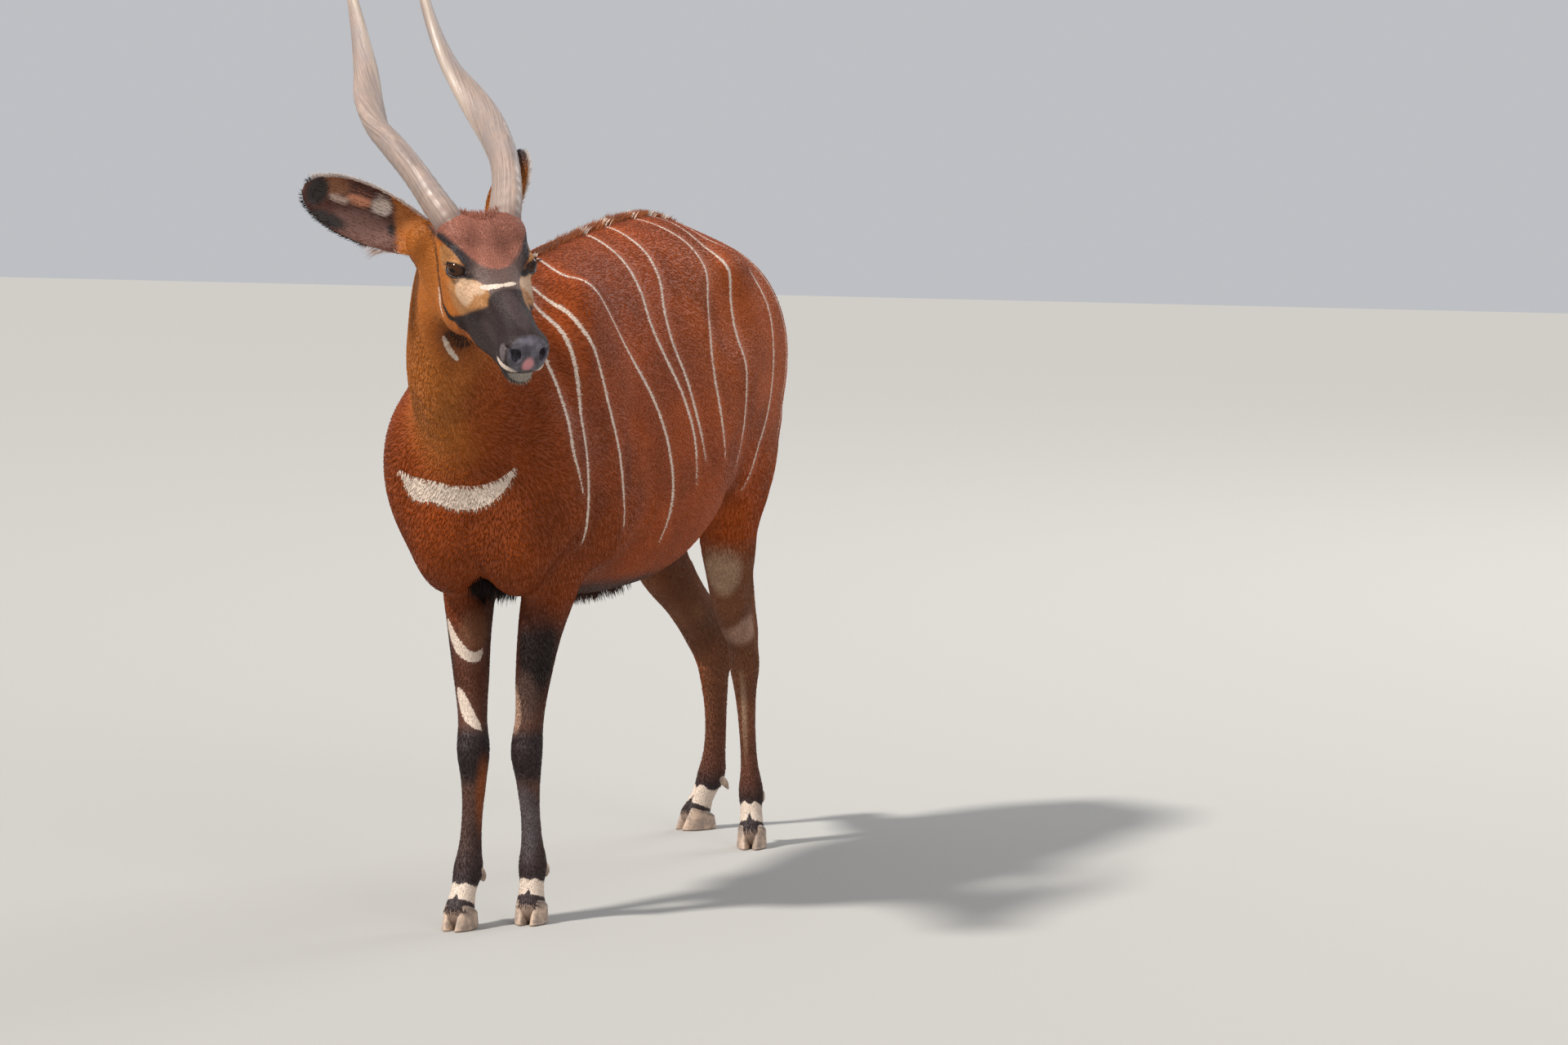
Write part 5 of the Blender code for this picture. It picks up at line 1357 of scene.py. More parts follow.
def chart(points, region):
    """The unwrap: round the part and along it, in metres."""
    x, y, z = points.T
    flat = np.c_[np.arctan2(-x, z - TRUNK_AXIS_HEIGHT) * CHART_RADIUS["torso"], y]
    neck = region == NUMBER["neck"]
    way = unit(NECK_WAY)
    along = (points[neck] - NECK_ROOT) @ way
    across = points[neck] - np.array(NECK_ROOT) - along[:, None] * way
    up = unit(np.cross(way, (1, 0, 0)))
    flat[neck] = np.c_[np.arctan2(across[:, 0], across @ up) * CHART_RADIUS["neck"], along]
    head = region == NUMBER["head"]
    q = to_head(points[head])
    flat[head] = np.c_[np.arctan2(q[:, 1], q[:, 2] + 0.02) * CHART_RADIUS["head"], q[:, 0]]
    for name, _, local in leg_of(points):
        leg = region == NUMBER[name]
        flat[leg] = np.c_[np.arctan2(local[leg, 1], local[leg, 0]) * CHART_RADIUS["leg"], z[leg]]
    tail = region == NUMBER["tail"]
    behind = y[tail] - np.interp(z[tail], *TAIL_LINE)
    flat[tail] = np.c_[np.arctan2(x[tail], behind) * CHART_RADIUS["tail"], z[tail]]
    return flat


def lie_of(points, normals, region):
    """The way the hair lies at each point, along the skin."""
    way = np.tile(np.array(LIES["torso"]), (len(points), 1))
    low = 1.0 - smooth(0.62, 0.95, points[:, 2])
    limb = smooth(0.20, 0.34, np.abs(points[:, 1] + 0.05))
    way = tinted(way, low * limb, LIES["limb"])
    way[np.isin(region, [NUMBER[name] for name in STANCES])] = LIES["leg"]
    for name in ("neck", "tail"):
        way[region == NUMBER[name]] = LIES[name]
    q = to_head(points)
    face = np.stack([np.full(len(q), -1.0), 0.30 * np.sign(q[:, 1]), np.full(len(q), -0.25)], 1)
    way = tinted(way, smooth(-0.04, 0.03, q[:, 0]) * (region == NUMBER["head"]), face @ HEAD_AXES.T)
    swirl = 0.18 * np.sin(points @ np.array((13.0, 9.0, 7.0)))
    swirl += 0.12 * np.sin(points @ np.array((-7.0, 21.0, 15.0)))
    way += swirl[:, None] * np.cross(normals, way)
    return unit_rows(flattened(way, normals))


# Meshes


def new_object(name, data):
    """An object of the scene with this data."""
    made = bpy.data.objects.new(name, data)
    bpy.context.scene.collection.objects.link(made)
    return made


def mesh_from_arrays(name, vertices, faces, sizes=None):
    """A mesh object in the part's frame. faces is a table of equal faces, or a run of corners that sizes
    splits into faces."""
    faces = np.asarray(faces)
    if sizes is None:
        sizes = np.full(len(faces), faces.shape[1])
    corners = faces.ravel()
    mesh = bpy.data.meshes.new(name)
    mesh.vertices.add(len(vertices))
    mesh.vertices.foreach_set("co", (np.asarray(vertices) + ORIGIN_SHIFT).ravel().astype(np.float32))
    mesh.loops.add(len(corners))
    mesh.loops.foreach_set("vertex_index", corners.astype(np.int32))
    mesh.polygons.add(len(sizes))
    mesh.polygons.foreach_set("loop_start", np.r_[0, np.cumsum(sizes)[:-1]].astype(np.int32))
    mesh.update(calc_edges=True)
    mesh.shade_smooth()
    return new_object(name, mesh)


def set_colour(obj, name, values):
    layer = obj.data.attributes.new(name, "FLOAT_COLOR", "POINT")
    layer.data.foreach_set("color", np.c_[values, np.ones(len(values))].ravel().astype(np.float32))


def set_value(obj, name, values):
    layer = obj.data.attributes.new(name, "FLOAT", "POINT")
    layer.data.foreach_set("value", np.asarray(values).astype(np.float32))


def place(obj, slot, shader, *nodes):
    """Gives a piece its body, its material and the nodes that it stands for; slot is not used."""
    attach(obj, "root")
    if nodes:
        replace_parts(obj, *nodes)
    obj.data.materials.clear()
    obj.data.materials.append(shader)
    return obj


def half_mesh(field, low, high, step, point, normal):
    """The field's surface in a box, cut square along a plane, with the side that normal points to kept."""
    values = untangle(sample(field, low, high, step), step)
    vertices, faces = surface_net(values, low, step)
    ahead = (vertices - point) @ normal
    faces = faces[np.any(ahead[faces] > -2 * step, axis=1)]
    used = np.unique(faces)
    number = np.full(len(vertices), -1)
    number[used] = np.arange(len(used))
    return settle(field, vertices[used]), number[faces]


def skin_mesh(field):
    """Vertices and faces of the whole skin: a fine head bridged to a body of wider mesh."""
    normal = HEAD_AXES @ unit(NAPE_NORMAL)
    point = from_head(NAPE) - JOIN_BACK * normal
    body = half_mesh(field, *BODY_BOX, BODY_GRID, point, -normal)
    head = half_mesh(field, *HEAD_BOX, HEAD_GRID, point, normal)
    bm = bmesh.new()
    for (vertices, faces), way in ((body, -1), (head, 1)):
        mesh = bpy.data.meshes.new("part")
        mesh.from_pydata(vertices.tolist(), [], faces.tolist())
        piece = bmesh.new()
        piece.from_mesh(mesh)
        where = point + (0 if way > 0 else -JOIN_GAP) * normal
        bmesh.ops.bisect_plane(
            piece, geom=piece.verts[:] + piece.edges[:] + piece.faces[:], dist=1e-5,
            plane_co=where, plane_no=way * normal, clear_inner=True,
        )
        keep_main(piece)
        piece.to_mesh(mesh)
        piece.free()
        bm.from_mesh(mesh)
        bpy.data.meshes.remove(mesh)
    rims = [e for e in bm.edges if e.is_boundary]
    rims = [e for e in rims if abs((np.array(e.verts[0].co) - point) @ normal) < 4 * JOIN_GAP]
    bmesh.ops.bridge_loops(bm, edges=rims)
    bmesh.ops.recalc_face_normals(bm, faces=bm.faces)
    mesh = bpy.data.meshes.new("skin")
    bm.to_mesh(mesh)
    bm.free()
    return mesh


def keep_main(bm):
    """Deletes all but the largest surface of a bmesh."""
    bm.faces.ensure_lookup_table()
    seen, best = set(), []
    for first in bm.faces:
        if first.index in seen:
            continue
        seen.add(first.index)
        group, queue = [], [first]
        while queue:
            face = queue.pop()
            group.append(face)
            for edge in face.edges:
                for other in edge.link_faces:
                    if other.index not in seen:
                        seen.add(other.index)
                        queue.append(other)
        if len(group) > len(best):
            best = group
    keep = set(best)
    bmesh.ops.delete(bm, geom=[f for f in bm.faces if f not in keep], context="FACES")


# Materials


class Shader:
    """A material with a Principled shader and short ways to add nodes."""

    def __init__(self, name, roughness, **values):
        self.material = bpy.data.materials.new(name)
        self.material.use_nodes = True
        self.tree = self.material.node_tree
        self.main = self.tree.nodes["Principled BSDF"]
        self.main.inputs["Roughness"].default_value = roughness
        for key, value in values.items():
            self.main.inputs[key.replace("_", " ")].default_value = value

    def node(self, kind, inputs=None, **settings):
        made = self.tree.nodes.new("ShaderNode" + kind)
        for key, value in settings.items():
            setattr(made, key, value)
        for key, value in (inputs or {}).items():
            if isinstance(value, bpy.types.NodeSocket):
                self.tree.links.new(value, made.inputs[key])
            else:
                made.inputs[key].default_value = value
        return made

    def attribute(self, name, output="Fac"):
        return self.node("Attribute", attribute_name=name).outputs[output]

    def noise(self, scale, detail=3.0, stretch=None, place=None, roughness=0.5):
        """Noise over the object, or over another place, finer along the axes with the larger stretch."""
        place = place or self.node("TexCoord").outputs["Object"]
        if stretch:
            place = self.node("Mapping", {"Vector": place, "Scale": stretch}).outputs[0]
        inputs = {"Vector": place, "Scale": scale, "Detail": detail, "Roughness": roughness}
        return self.node("TexNoise", inputs).outputs["Fac"]

    def ramp(self, value, low, high, start=0.0, end=1.0):
        inputs = {"Value": value, "From Min": low, "From Max": high, "To Min": start, "To Max": end}
        return self.node("MapRange", inputs, interpolation_type="SMOOTHSTEP").outputs[0]

    def math(self, operation, a, b):
        return self.node("Math", {0: a, 1: b}, operation=operation).outputs[0]

    def mix(self, share, a, b, blend="MIX"):
        made = self.node("Mix", data_type="RGBA", blend_type=blend)
        for key, value in ((0, share), (6, a), (7, b)):
            if isinstance(value, bpy.types.NodeSocket):
                self.tree.links.new(value, made.inputs[key])
            elif key == 0:
                made.inputs[key].default_value = value
            else:
                made.inputs[key].default_value = (*value, 1.0)
        return made.outputs[2]

    def shaded(self, colour, value):
        """A colour made lighter or darker by a value about 1."""
        grey = self.node("CombineColor", {0: value, 1: value, 2: value}).outputs[0]
        return self.mix(1.0, colour, grey, "MULTIPLY")

    def colour(self, value):
        self.tree.links.new(value, self.main.inputs["Base Color"])

    def rough(self, value):
        self.tree.links.new(value, self.main.inputs["Roughness"])

    def bump(self, height, distance, strength=1.0, after=None):
        inputs = {"Height": height, "Distance": distance, "Strength": strength}
        if after is not None:
            inputs["Normal"] = after
        made = self.node("Bump", inputs).outputs[0]
        self.tree.links.new(made, self.main.inputs["Normal"])
        return made


def coat_colour(shader):
    """The tint with its white marks, their edges brushed by the hair."""
    grain = shader.noise(260.0, 2.0)
    broken = shader.math("MULTIPLY_ADD", grain, 0.006)
    broken.node.inputs[2].default_value = -0.003
    edge = shader.math("ADD", shader.attribute("white_edge"), broken)
    white = shader.ramp(edge, -0.0010, 0.0012, 1.0, 0.0)
    tint = shader.attribute("tint", "Color")
    patchy = shader.ramp(shader.noise(9.0, 4.0), 0.30, 0.70, 0.80, 1.16)
    return shader.mix(white, shader.shaded(tint, patchy), WHITE)


def skin_material():
    """Short hair drawn on the skin between the tufts, and the wet grained pad of the nose."""
    shader = Shader("Skin", 0.60, Specular_IOR_Level=0.30)
    colour = coat_colour(shader)
    grain = shader.attribute("grain", "Vector")
    fine = shader.noise(1.0, 2.0, (900.0, 130.0, 1.0), grain)
    streak = shader.noise(1.0, 2.0, (260.0, 30.0, 1.0), grain)
    shade = shader.ramp(fine, 0.25, 0.75, 0.62, 1.15)
    colour = shader.shaded(colour, shade)
    bare = shader.attribute("bare")
    pebble = shader.node("TexVoronoi", {"Scale": 420.0}).outputs["Distance"]
    pad = shader.mix(shader.ramp(shader.noise(60.0, 3.0), 0.35, 0.65), *PAD_TONES)
    pad = shader.mix(shader.attribute("pink"), pad, PAD_PINK)
    shader.colour(shader.mix(bare, colour, pad))
    shader.rough(shader.ramp(bare, 0.0, 1.0, 0.60, 0.24))
    soft = shader.bump(streak, 0.0012, 0.5)
    soft = shader.bump(fine, 0.0007, 0.6, soft)
    shader.bump(shader.math("MULTIPLY", pebble, bare), 0.0006, 0.5, soft)
    return shader.material


def coat_material(name, roughness=0.55):
    """Hair that takes its colour from the skin under its root, each tuft a little lighter or darker."""
    shader = Shader(name, roughness, Specular_IOR_Level=0.12)
    shader.colour(shader.shaded(coat_colour(shader), shader.attribute("shade")))
    return shader.material


def eye_material():
    """A brown iris with fine rays and a black pupil."""
    shader = Shader("Eye", 0.07, Specular_IOR_Level=0.22)
    iris = shader.attribute("iris")
    pupil = shader.attribute("pupil")
    rays = shader.noise(30.0, 3.0)
    brown = shader.mix(shader.ramp(rays, 0.3, 0.7), *IRIS_TONES)
    ball = shader.mix(shader.ramp(iris, 0.0, 1.0), EYE_WHITE, brown)
    shader.colour(shader.mix(pupil, ball, PUPIL))
    return shader.material


def horn_material():
    """Streaked and clouded horn, lighter on its keel and tip and darker at its root."""
    shader = Shader("Horn", 0.42)
    turn = shader.attribute("keel")
    along = shader.attribute("along")
    place = shader.node("CombineXYZ", {0: turn, 1: along, 2: 0.0}).outputs[0]
    streak = shader.noise(1.0, 4.0, (14.0, 9.0, 1.0), place, 0.6)
    fine = shader.noise(1.0, 3.0, (60.0, 26.0, 1.0), place, 0.6)
    cloud = shader.noise(22.0, 4.0)
    colour = shader.mix(shader.ramp(streak, 0.36, 0.66), *HORN_TONES)
    colour = shader.mix(shader.ramp(cloud, 0.40, 0.70, 0.0, 0.55), colour, HORN_CLOUD)
    colour = shader.mix(shader.ramp(fine, 0.45, 0.75, 0.0, 0.45), colour, HORN_LINES)
    colour = shader.mix(shader.ramp(turn, 0.55, 1.0, 0.0, 0.55), colour, HORN_EDGE)
    colour = shader.mix(shader.ramp(along, 0.80, 0.97), colour, HORN_TIP)
    colour = shader.mix(shader.ramp(along, 0.075, 0.125, 0.7, 0.0), colour, HORN_ROOT)
    shader.colour(colour)
    shader.rough(shader.ramp(streak, 0.3, 0.7, 0.36, 0.56))
    soft = shader.bump(streak, 0.0012, 0.5)
    shader.bump(fine, 0.0006, 0.6, soft)
    return shader.material


def hoof_material():
    """Horn with level rings and upright grain, darker at its upper edge."""
    shader = Shader("Hoof", 0.48)
    place = shader.node("TexCoord").outputs["Object"]
    rings = shader.noise(1.0, 3.0, (30.0, 30.0, 420.0), place)
    grain = shader.noise(1.0, 3.0, (500.0, 500.0, 60.0), place)
    cloud = shader.noise(60.0, 3.0)
    colour = shader.mix(shader.ramp(cloud, 0.35, 0.65), *HOOF_TONES)
    colour = shader.mix(shader.ramp(grain, 0.45, 0.70, 0.0, 0.4), colour, HOOF_GRAIN)
    top = shader.ramp(shader.attribute("height"), 0.80, 1.0, 0.0, 0.50)
    colour = shader.mix(top, colour, HOOF_TOP)
    shader.colour(colour)
    soft = shader.bump(rings, 0.0010, 0.7)
    shader.bump(grain, 0.0004, 0.5, soft)
    return shader.material


def ear_material():
    """The skin of the ears, in their own colours."""
    shader = Shader("Ear", 0.65)
    colour = shader.attribute("tint", "Color")
    grain = shader.noise(500.0, 3.0)
    shader.colour(shader.shaded(colour, shader.ramp(grain, 0.3, 0.7, 0.75, 1.15)))
    shader.bump(grain, 0.0006, 0.5)
    return shader.material


# Hair


class Hair:
    """Roots on a mesh of triangles, spread evenly by area with a weight for each triangle."""

    def __init__(self, vertices, normals, triangles, weight, count, seed):
        draw = np.random.default_rng(seed)
        a, b, c = (vertices[triangles[:, k]] for k in range(3))
        area = 0.5 * np.linalg.norm(np.cross(b - a, c - a), axis=1) * weight
        total = np.cumsum(area)
        pick = (np.arange(count) + draw.uniform(0, 1, count)) / count * total[-1]
        face = np.searchsorted(total, pick)
        u, v = draw.uniform(0, 1, (2, count))
        flip = u + v > 1
        u[flip], v[flip] = 1 - u[flip], 1 - v[flip]
        share = np.stack([1 - u - v, u, v], 1)
        corner = triangles[face]
        self.place = np.einsum("ij,ijk->ik", share, vertices[corner])
        self.normal = unit_rows(np.einsum("ij,ijk->ik", share, normals[corner]))
        self.draw = draw


def hair_mesh(name, points, faces, offsets, flat, colour, edge, shade):
    """A mesh of tufts of equal build, coloured as at their roots, each with its own patch of the unwrap."""
    count, each = points.shape[:2]
    faces = np.array(faces)
    every = (faces[None] + each * np.arange(count)[:, None, None]).reshape(-1, 3)
    obj = mesh_from_arrays(name, points.reshape(-1, 3), every)
    set_colour(obj, "tint", np.repeat(colour, each, axis=0))
    set_value(obj, "white_edge", np.repeat(edge, each))
    set_value(obj, "shade", np.repeat(shade, each))
    low, high = flat.min(0), flat.max(0)
    centre = 0.004 + 0.992 * (flat - low) / np.maximum(high - low, TINY)
    corners = centre[:, None, :] + PATCH_SIZE * np.asarray(offsets)[None]
    layer = obj.data.uv_layers.new(name="OFBake")
    layer.data.foreach_set("uv", corners[:, faces.ravel()].ravel().astype(np.float32))
    return obj


def tufts(name, place, normal, lie, length, width, lift, sink, *looks):
    """Flat-lying tufts of short fur: a root under the skin, a middle of three points and a tip."""
    across = np.cross(normal, lie)
    length, width, lift = (np.asarray(v)[:, None] for v in (length, width, lift))
    root = place - sink * normal
    middle = place + 0.42 * length * lie + 0.55 * lift * normal
    tip = place + length * lie + lift * normal
    left, right = middle - 0.5 * width * across, middle + 0.5 * width * across
    points = np.stack([root, left, right, middle + 0.30 * width * normal, tip], 1)
    faces = ((0, 2, 1), (0, 1, 3), (0, 3, 2), (4, 1, 2), (4, 3, 1), (4, 2, 3))
    offsets = ((0.0, -0.5), (-0.5, 0.0), (0.5, 0.0), (0.0, 0.1), (0.0, 0.5))
    return hair_mesh(name, points, faces, offsets, *looks)


def strands(name, place, lie, bend, length, width, *looks, facing=None, rings=4):
    """Longer hair: locks of three sides that bend and taper to a point. facing is across their flat."""
    length, width = (np.asarray(v)[:, None] for v in (length, width))
    if facing is None:
        facing = np.cross(lie, (0.31, 0.52, 0.79))
    rows = []
    for share in np.linspace(0.0, 1.0, rings + 1)[:-1]:
        centre = place + length * (share * lie + share**2 * bend)
        way = unit_rows(lie + 2 * share * bend)
        across = unit_rows(np.cross(way, facing))
        up = np.cross(across, way)
        half = 0.5 * width * (1.0 - share) ** 0.7 * (0.7 if share == 0 else 1.0)
        rows += [centre - half * across, centre + half * across, centre + 0.6 * half * up]
    rows.append(place + length * (lie + bend))
    faces = [(0, 1, 2)]
    for ring in range(rings - 1):
        for k in range(3):
            a, b = 3 * ring + k, 3 * ring + (k + 1) % 3
            faces += [(a, a + 3, b + 3), (a, b + 3, b)]
    last = 3 * (rings - 1)
    faces += [(last + k, last + 3, last + (k + 1) % 3) for k in range(3)]
    offsets = [(0.33 * (k % 3 - 1), i / rings - 0.5) for i in range(rings) for k in range(3)] + [(0.0, 0.5)]
    return hair_mesh(name, np.stack(rows, 1), faces, offsets, *looks)


def short_fur(vertices, normals, triangles, shader):
    """The short coat over the whole skin, in pieces by region."""
    middle = vertices[triangles].mean(axis=1)
    region = region_of(middle)
    kinds = [r if r in FUR else "leg" for r in REGIONS]
    density = np.array([FUR[k][0] for k in kinds])[region]
    muzzle = (region == NUMBER["head"]) * smooth(0.20, 0.32, to_head(middle)[:, 0])
    density = density * (bareness(middle)[0] < 0.3) * (1.0 + 0.8 * muzzle)
    density[middle[:, 2] < FUR_FOOT] = 0.0
    count = FUR_COUNT // 1
    hair = Hair(vertices, normals, triangles, density, count, FUR_SEED)
    draw = hair.draw
    region = region_of(hair.place)
    colour, edge = paint(hair.place)
    lie = lie_of(hair.place, hair.normal, region)
    flat = chart(hair.place, region)
    length, width, lift = np.array([FUR[k][1:] for k in kinds])[region].T
    face = (region == NUMBER["head"]) * smooth(0.10, 0.34, to_head(hair.place)[:, 0])
    length = length * (1 - 0.45 * face) * draw.uniform(0.75, 1.25, count)
    width = width * (1 - 0.35 * face) * draw.uniform(0.8, 1.2, count) * 1.0
    lift = lift * (1 - 0.40 * face) * draw.uniform(0.7, 1.3, count)
    x, y, z = hair.place.T
    chest = (np.abs(x - CRESCENT_MIDDLE) < 0.16) & (y < CRESCENT_FRONT) & (np.abs(z - 0.84) < 0.08)
    beside_white = np.where(chest, 0.0, 1.0 - smooth(0.004, 0.016, edge))
    length *= 1.0 - 0.45 * beside_white
    width *= 1.0 - 0.30 * beside_white
    lift *= 1.0 - 0.40 * beside_white
    shade = np.clip(draw.normal(1.0, 0.10, count), 0.7, 1.35)
    turn = draw.normal(0.0, 0.08, count)[:, None]
    lie = unit_rows(lie + turn * np.cross(hair.normal, lie))
    for number, name in enumerate(REGIONS):
        index = np.where(region == number)[0]
        parts = max(1, math.ceil(len(index) / FUR_PIECE))
        for part in range(parts):
            use = index[part::parts]
            if len(use) == 0:
                continue
            label = "fur_" + name + ("_" + "abcdefgh"[part] if parts > 1 else "")
            obj = tufts(
                label, hair.place[use], hair.normal[use], lie[use], length[use], width[use], lift[use],
                FUR_SINK, flat[use], colour[use], edge[use], shade[use],
            )
            place(obj, "hide", shader)


def hair_piece(name, roots, lie, bend, length, width, colour, shader, seed, **more):
    """A piece of long hair, with each lock a little lighter or darker."""
    count = len(roots)
    lie, bend, colour = (np.broadcast_to(np.asarray(v, float), (count, 3)) for v in (lie, bend, colour))
    length, width = (np.broadcast_to(v, count) for v in (length, width))
    shade = np.clip(np.random.default_rng(seed).normal(1.0, 0.16, count), 0.5, 1.5)
    flat = roots[:, [1, 2]] if np.ptp(roots[:, 1]) > np.ptp(roots[:, 0]) else roots[:, [0, 2]]
    looks = (flat, colour, np.full(count, 1.0), shade)
    return place(strands(name, roots, unit_rows(lie), bend, length, width, *looks, **more), "hair", shader)


def crest_hair(shader):
    """The erect crest of the back, brown with white hair where each stripe meets it."""
    count, width, short, longer = CREST_HAIR
    count = count // 1
    draw = np.random.default_rng(CREST_SEEDS[0])
    first, last = CREST_RANGE
    y = draw.uniform(first - 0.05, last + 0.10, count)
    x = draw.normal(0.0, CREST_SPREAD, count)
    back, = read_columns(hermite_table(TRUNK, 160), y, (1,))
    roots = np.c_[x, y, back - CREST_SINK]
    share = np.sin(math.pi * np.clip((y - first + 0.06) / (last - first + 0.18), 0, 1))
    length = (short + longer * share) * draw.uniform(0.7, 1.15, count)
    lie = np.c_[x * 9.0 + draw.normal(0, 0.10, count), draw.normal(0.62, 0.12, count), np.full(count, 0.85)]
    tops = np.array([max(s)[1] for s in STRIPES])
    away = np.abs(y[:, None] - tops[None]).min(axis=1)
    colour = np.where((away < 0.008)[:, None], WHITE, CREST_BROWN)
    return hair_piece(
        "crest_hair", roots, lie, (0.0, 0.28, -0.16), length, width, colour, shader, CREST_SEEDS[1],
        facing=np.array((1.0, 0, 0)),
    )


def tuft_hair(shader):
    """The dark tuft at the tail's end."""
    count, width, short, longer = TUFT_HAIR
    count = count // 1
    draw = np.random.default_rng(TUFT_SEEDS[0])
    angle = draw.uniform(0, 2 * math.pi, count)
    down = draw.uniform(0.0, 1.0, count) ** 0.8
    radius = TUFT_RADIUS * np.sqrt(draw.uniform(0.1, 1.0, count))
    x, _, z = TAIL[-1][:3]
    z_root = z + 0.075 - 0.095 * down
    out = np.c_[np.cos(angle), np.sin(angle), np.zeros(count)]
    roots = np.c_[np.full(count, x), np.interp(z_root, *TAIL_LINE), z_root] + radius[:, None] * out
    length = (short + longer * down) * draw.uniform(0.8, 1.08, count)
    lie = out * 0.20 + np.array((0, 0, -1.0)) + draw.normal(0, 0.03, (count, 3))
    colour = np.where((draw.uniform(0, 1, count) < 0.25)[:, None], (0.045, 0.018, 0.010), BLACK)
    return hair_piece(
        "tail_tuft_hair", roots, lie, -0.19 * out, length, width, colour, shader, TUFT_SEEDS[1], rings=5
    )


def surface_roots(vertices, normals, local, centre, radii, count, seed):
    """Roots on the skin inside a round region, with their normals. local is where its vertices lie about
    the region's axes."""
    inside = np.where(share_out(local, centre, radii) < 1.0)[0]
    draw = np.random.default_rng(seed)
    pick = draw.choice(inside, count)
    jitter = flattened(draw.normal(0, 0.0015, (count, 3)), normals[pick])
    return vertices[pick] + jitter, normals[pick], draw


def loose_hair(vertices, normals, shader):
    for number, (name, axes, centre, radii, count, way, length, width, tone) in enumerate(LOOSE_HAIR):
        count = count // 1
        head = axes == "head"
        local = to_head(vertices) if head else vertices
        seed, shade_seed = (first + number for first in LOOSE_SEEDS)
        roots, normal, draw = surface_roots(vertices, normals, local, centre, radii, count, seed)
        way = unit(HEAD_AXES @ np.array(way, float) if head else way)
        lie = 0.8 * way + 0.55 * normal + draw.normal(0, 0.12, (count, 3))
        size = length * draw.uniform(0.6, 1.2, count)
        hair_piece(name, roots - 0.001 * normal, lie, 0.25 * way, size, width, tone, shader, shade_seed)


# Horns, ears, eyes and hooves


def ring_mesh(name, rings):
    """A closed mesh strung over rings of points, with its ends fanned to their middles."""
    rings = np.asarray(rings)
    count, width = rings.shape[:2]
    base = np.arange(count - 1)[:, None] * width
    top = (count - 1) * width
    j = np.arange(width)
    k = (j + 1) % width
    quads = np.stack([base + j, base + width + j, base + width + k, base + k], -1).reshape(-1, 4)
    first = np.stack([k, j, np.full(width, count * width)], 1)
    last = np.stack([top + j, top + k, np.full(width, count * width + 1)], 1)
    corners = np.r_[quads.ravel(), first.ravel()[::-1], last.ravel()[::-1]]
    sizes = np.r_[np.full(len(quads), 4), np.full(2 * width, 3)]
    points = np.concatenate([rings.reshape(-1, 3), (rings[0].mean(0), rings[-1].mean(0))])
    made = mesh_from_arrays(name, points, corners, sizes)
    bm = bmesh.new()
    bm.from_mesh(made.data)
    bmesh.ops.recalc_face_normals(bm, faces=bm.faces)
    bm.to_mesh(made.data)
    bm.free()
    return made


def horn(side, shader, around=40, along=230):
    """One horn, with a keel that winds round it, faint rings near its base and long grooves."""
    name = side_name("horn", side)
    table = hermite_table(HORN, along)
    way = unit(HORN_DIRECTION)
    rise = unit(np.cross((0, 1, 0), way))
    rise = rise * np.sign(rise[2])
    spine = np.array(HORN_BASE) + table[:, :1] * way + table[:, 2:3] * rise
    spine = spine + side * table[:, 1:2] * np.array((0, 1.0, 0))
    axis = np.gradient(spine, axis=0)
    angles = side * 2 * math.pi * np.arange(around) / around
    keel = 1.0 + HORN_KEEL * np.maximum(np.cos(angles), 0.0) ** 4
    draw = np.random.default_rng(HORN_SEED + side)
    phases = draw.uniform(0, 2 * math.pi, 6)
    rings, shares, keels = [], [], []
    for i, (centre, row) in enumerate(zip(spine, table)):
        out = unit(np.array((0, side, 0)) - axis[i, 1] * side * axis[i] / (axis[i] @ axis[i]))
        over = side * np.cross(unit(axis[i]), out)
        turn = math.radians(row[4])
        long_way = math.cos(turn) * out + math.sin(turn) * over
        short_way = math.cos(turn) * over - math.sin(turn) * out
        share = (row[0] - table[0, 0]) / (table[-1, 0] - table[0, 0])
        fade = 1.0 - smooth(0.25, 0.75, np.array(share))
        ripple = 0.012 * fade * np.sin(row[0] * 300 + 0.7 * np.sin(row[0] * 90) + 0.3 * np.cos(angles))
        groove = 0.012 * np.sin(5 * angles + phases[0] + 4 * share)
        groove += 0.008 * np.sin(9 * angles + phases[1] - 3 * share)
        radius = row[3] * (keel + ripple + groove * (1 - 0.6 * share))
        wide = np.cos(angles)[:, None] * HORN_OVAL * long_way
        flat = np.sin(angles)[:, None] / HORN_OVAL * short_way
        rings.append(from_head(centre + radius[:, None] * (wide + flat)))
        shares.append(np.full(around, share))
        keels.append(np.cos(angles))
    obj = ring_mesh(name + "_sheath", rings)
    set_value(obj, "along", np.r_[np.concatenate(shares), 0.0, 1.0])
    set_value(obj, "keel", np.r_[np.concatenate(keels), 0.0, 0.0])
    return place(obj, "horn", shader, name)


def ear_inside(share, rise):
    """The colour inside an ear at a share of its length and a height across it."""
    share, rise = np.broadcast_arrays(np.asarray(share, float), rise)
    colour = np.tile(np.array(EAR_RED), (len(rise), 1))
    for centre, radii, tone in EAR_PATCHES:
        away = np.hypot((share - centre[0]) / radii[0], (rise - centre[1]) / radii[1])
        colour = tinted(colour, 1.0 - smooth(0.65, 1.15, away), tone)
    return tinted(colour, 1.0 - smooth(-0.03, 0.03, share - EAR_BASE[0] - EAR_BASE[1] * rise), ORANGE)


def ear_outside(share):
    """The colour of the back of an ear at a share of its length."""
    colour = np.array(ORANGE) * (1 - 0.4 * share)[:, None]
    return tinted(colour, smooth(0.55, 0.95, share), EAR_SLATE)


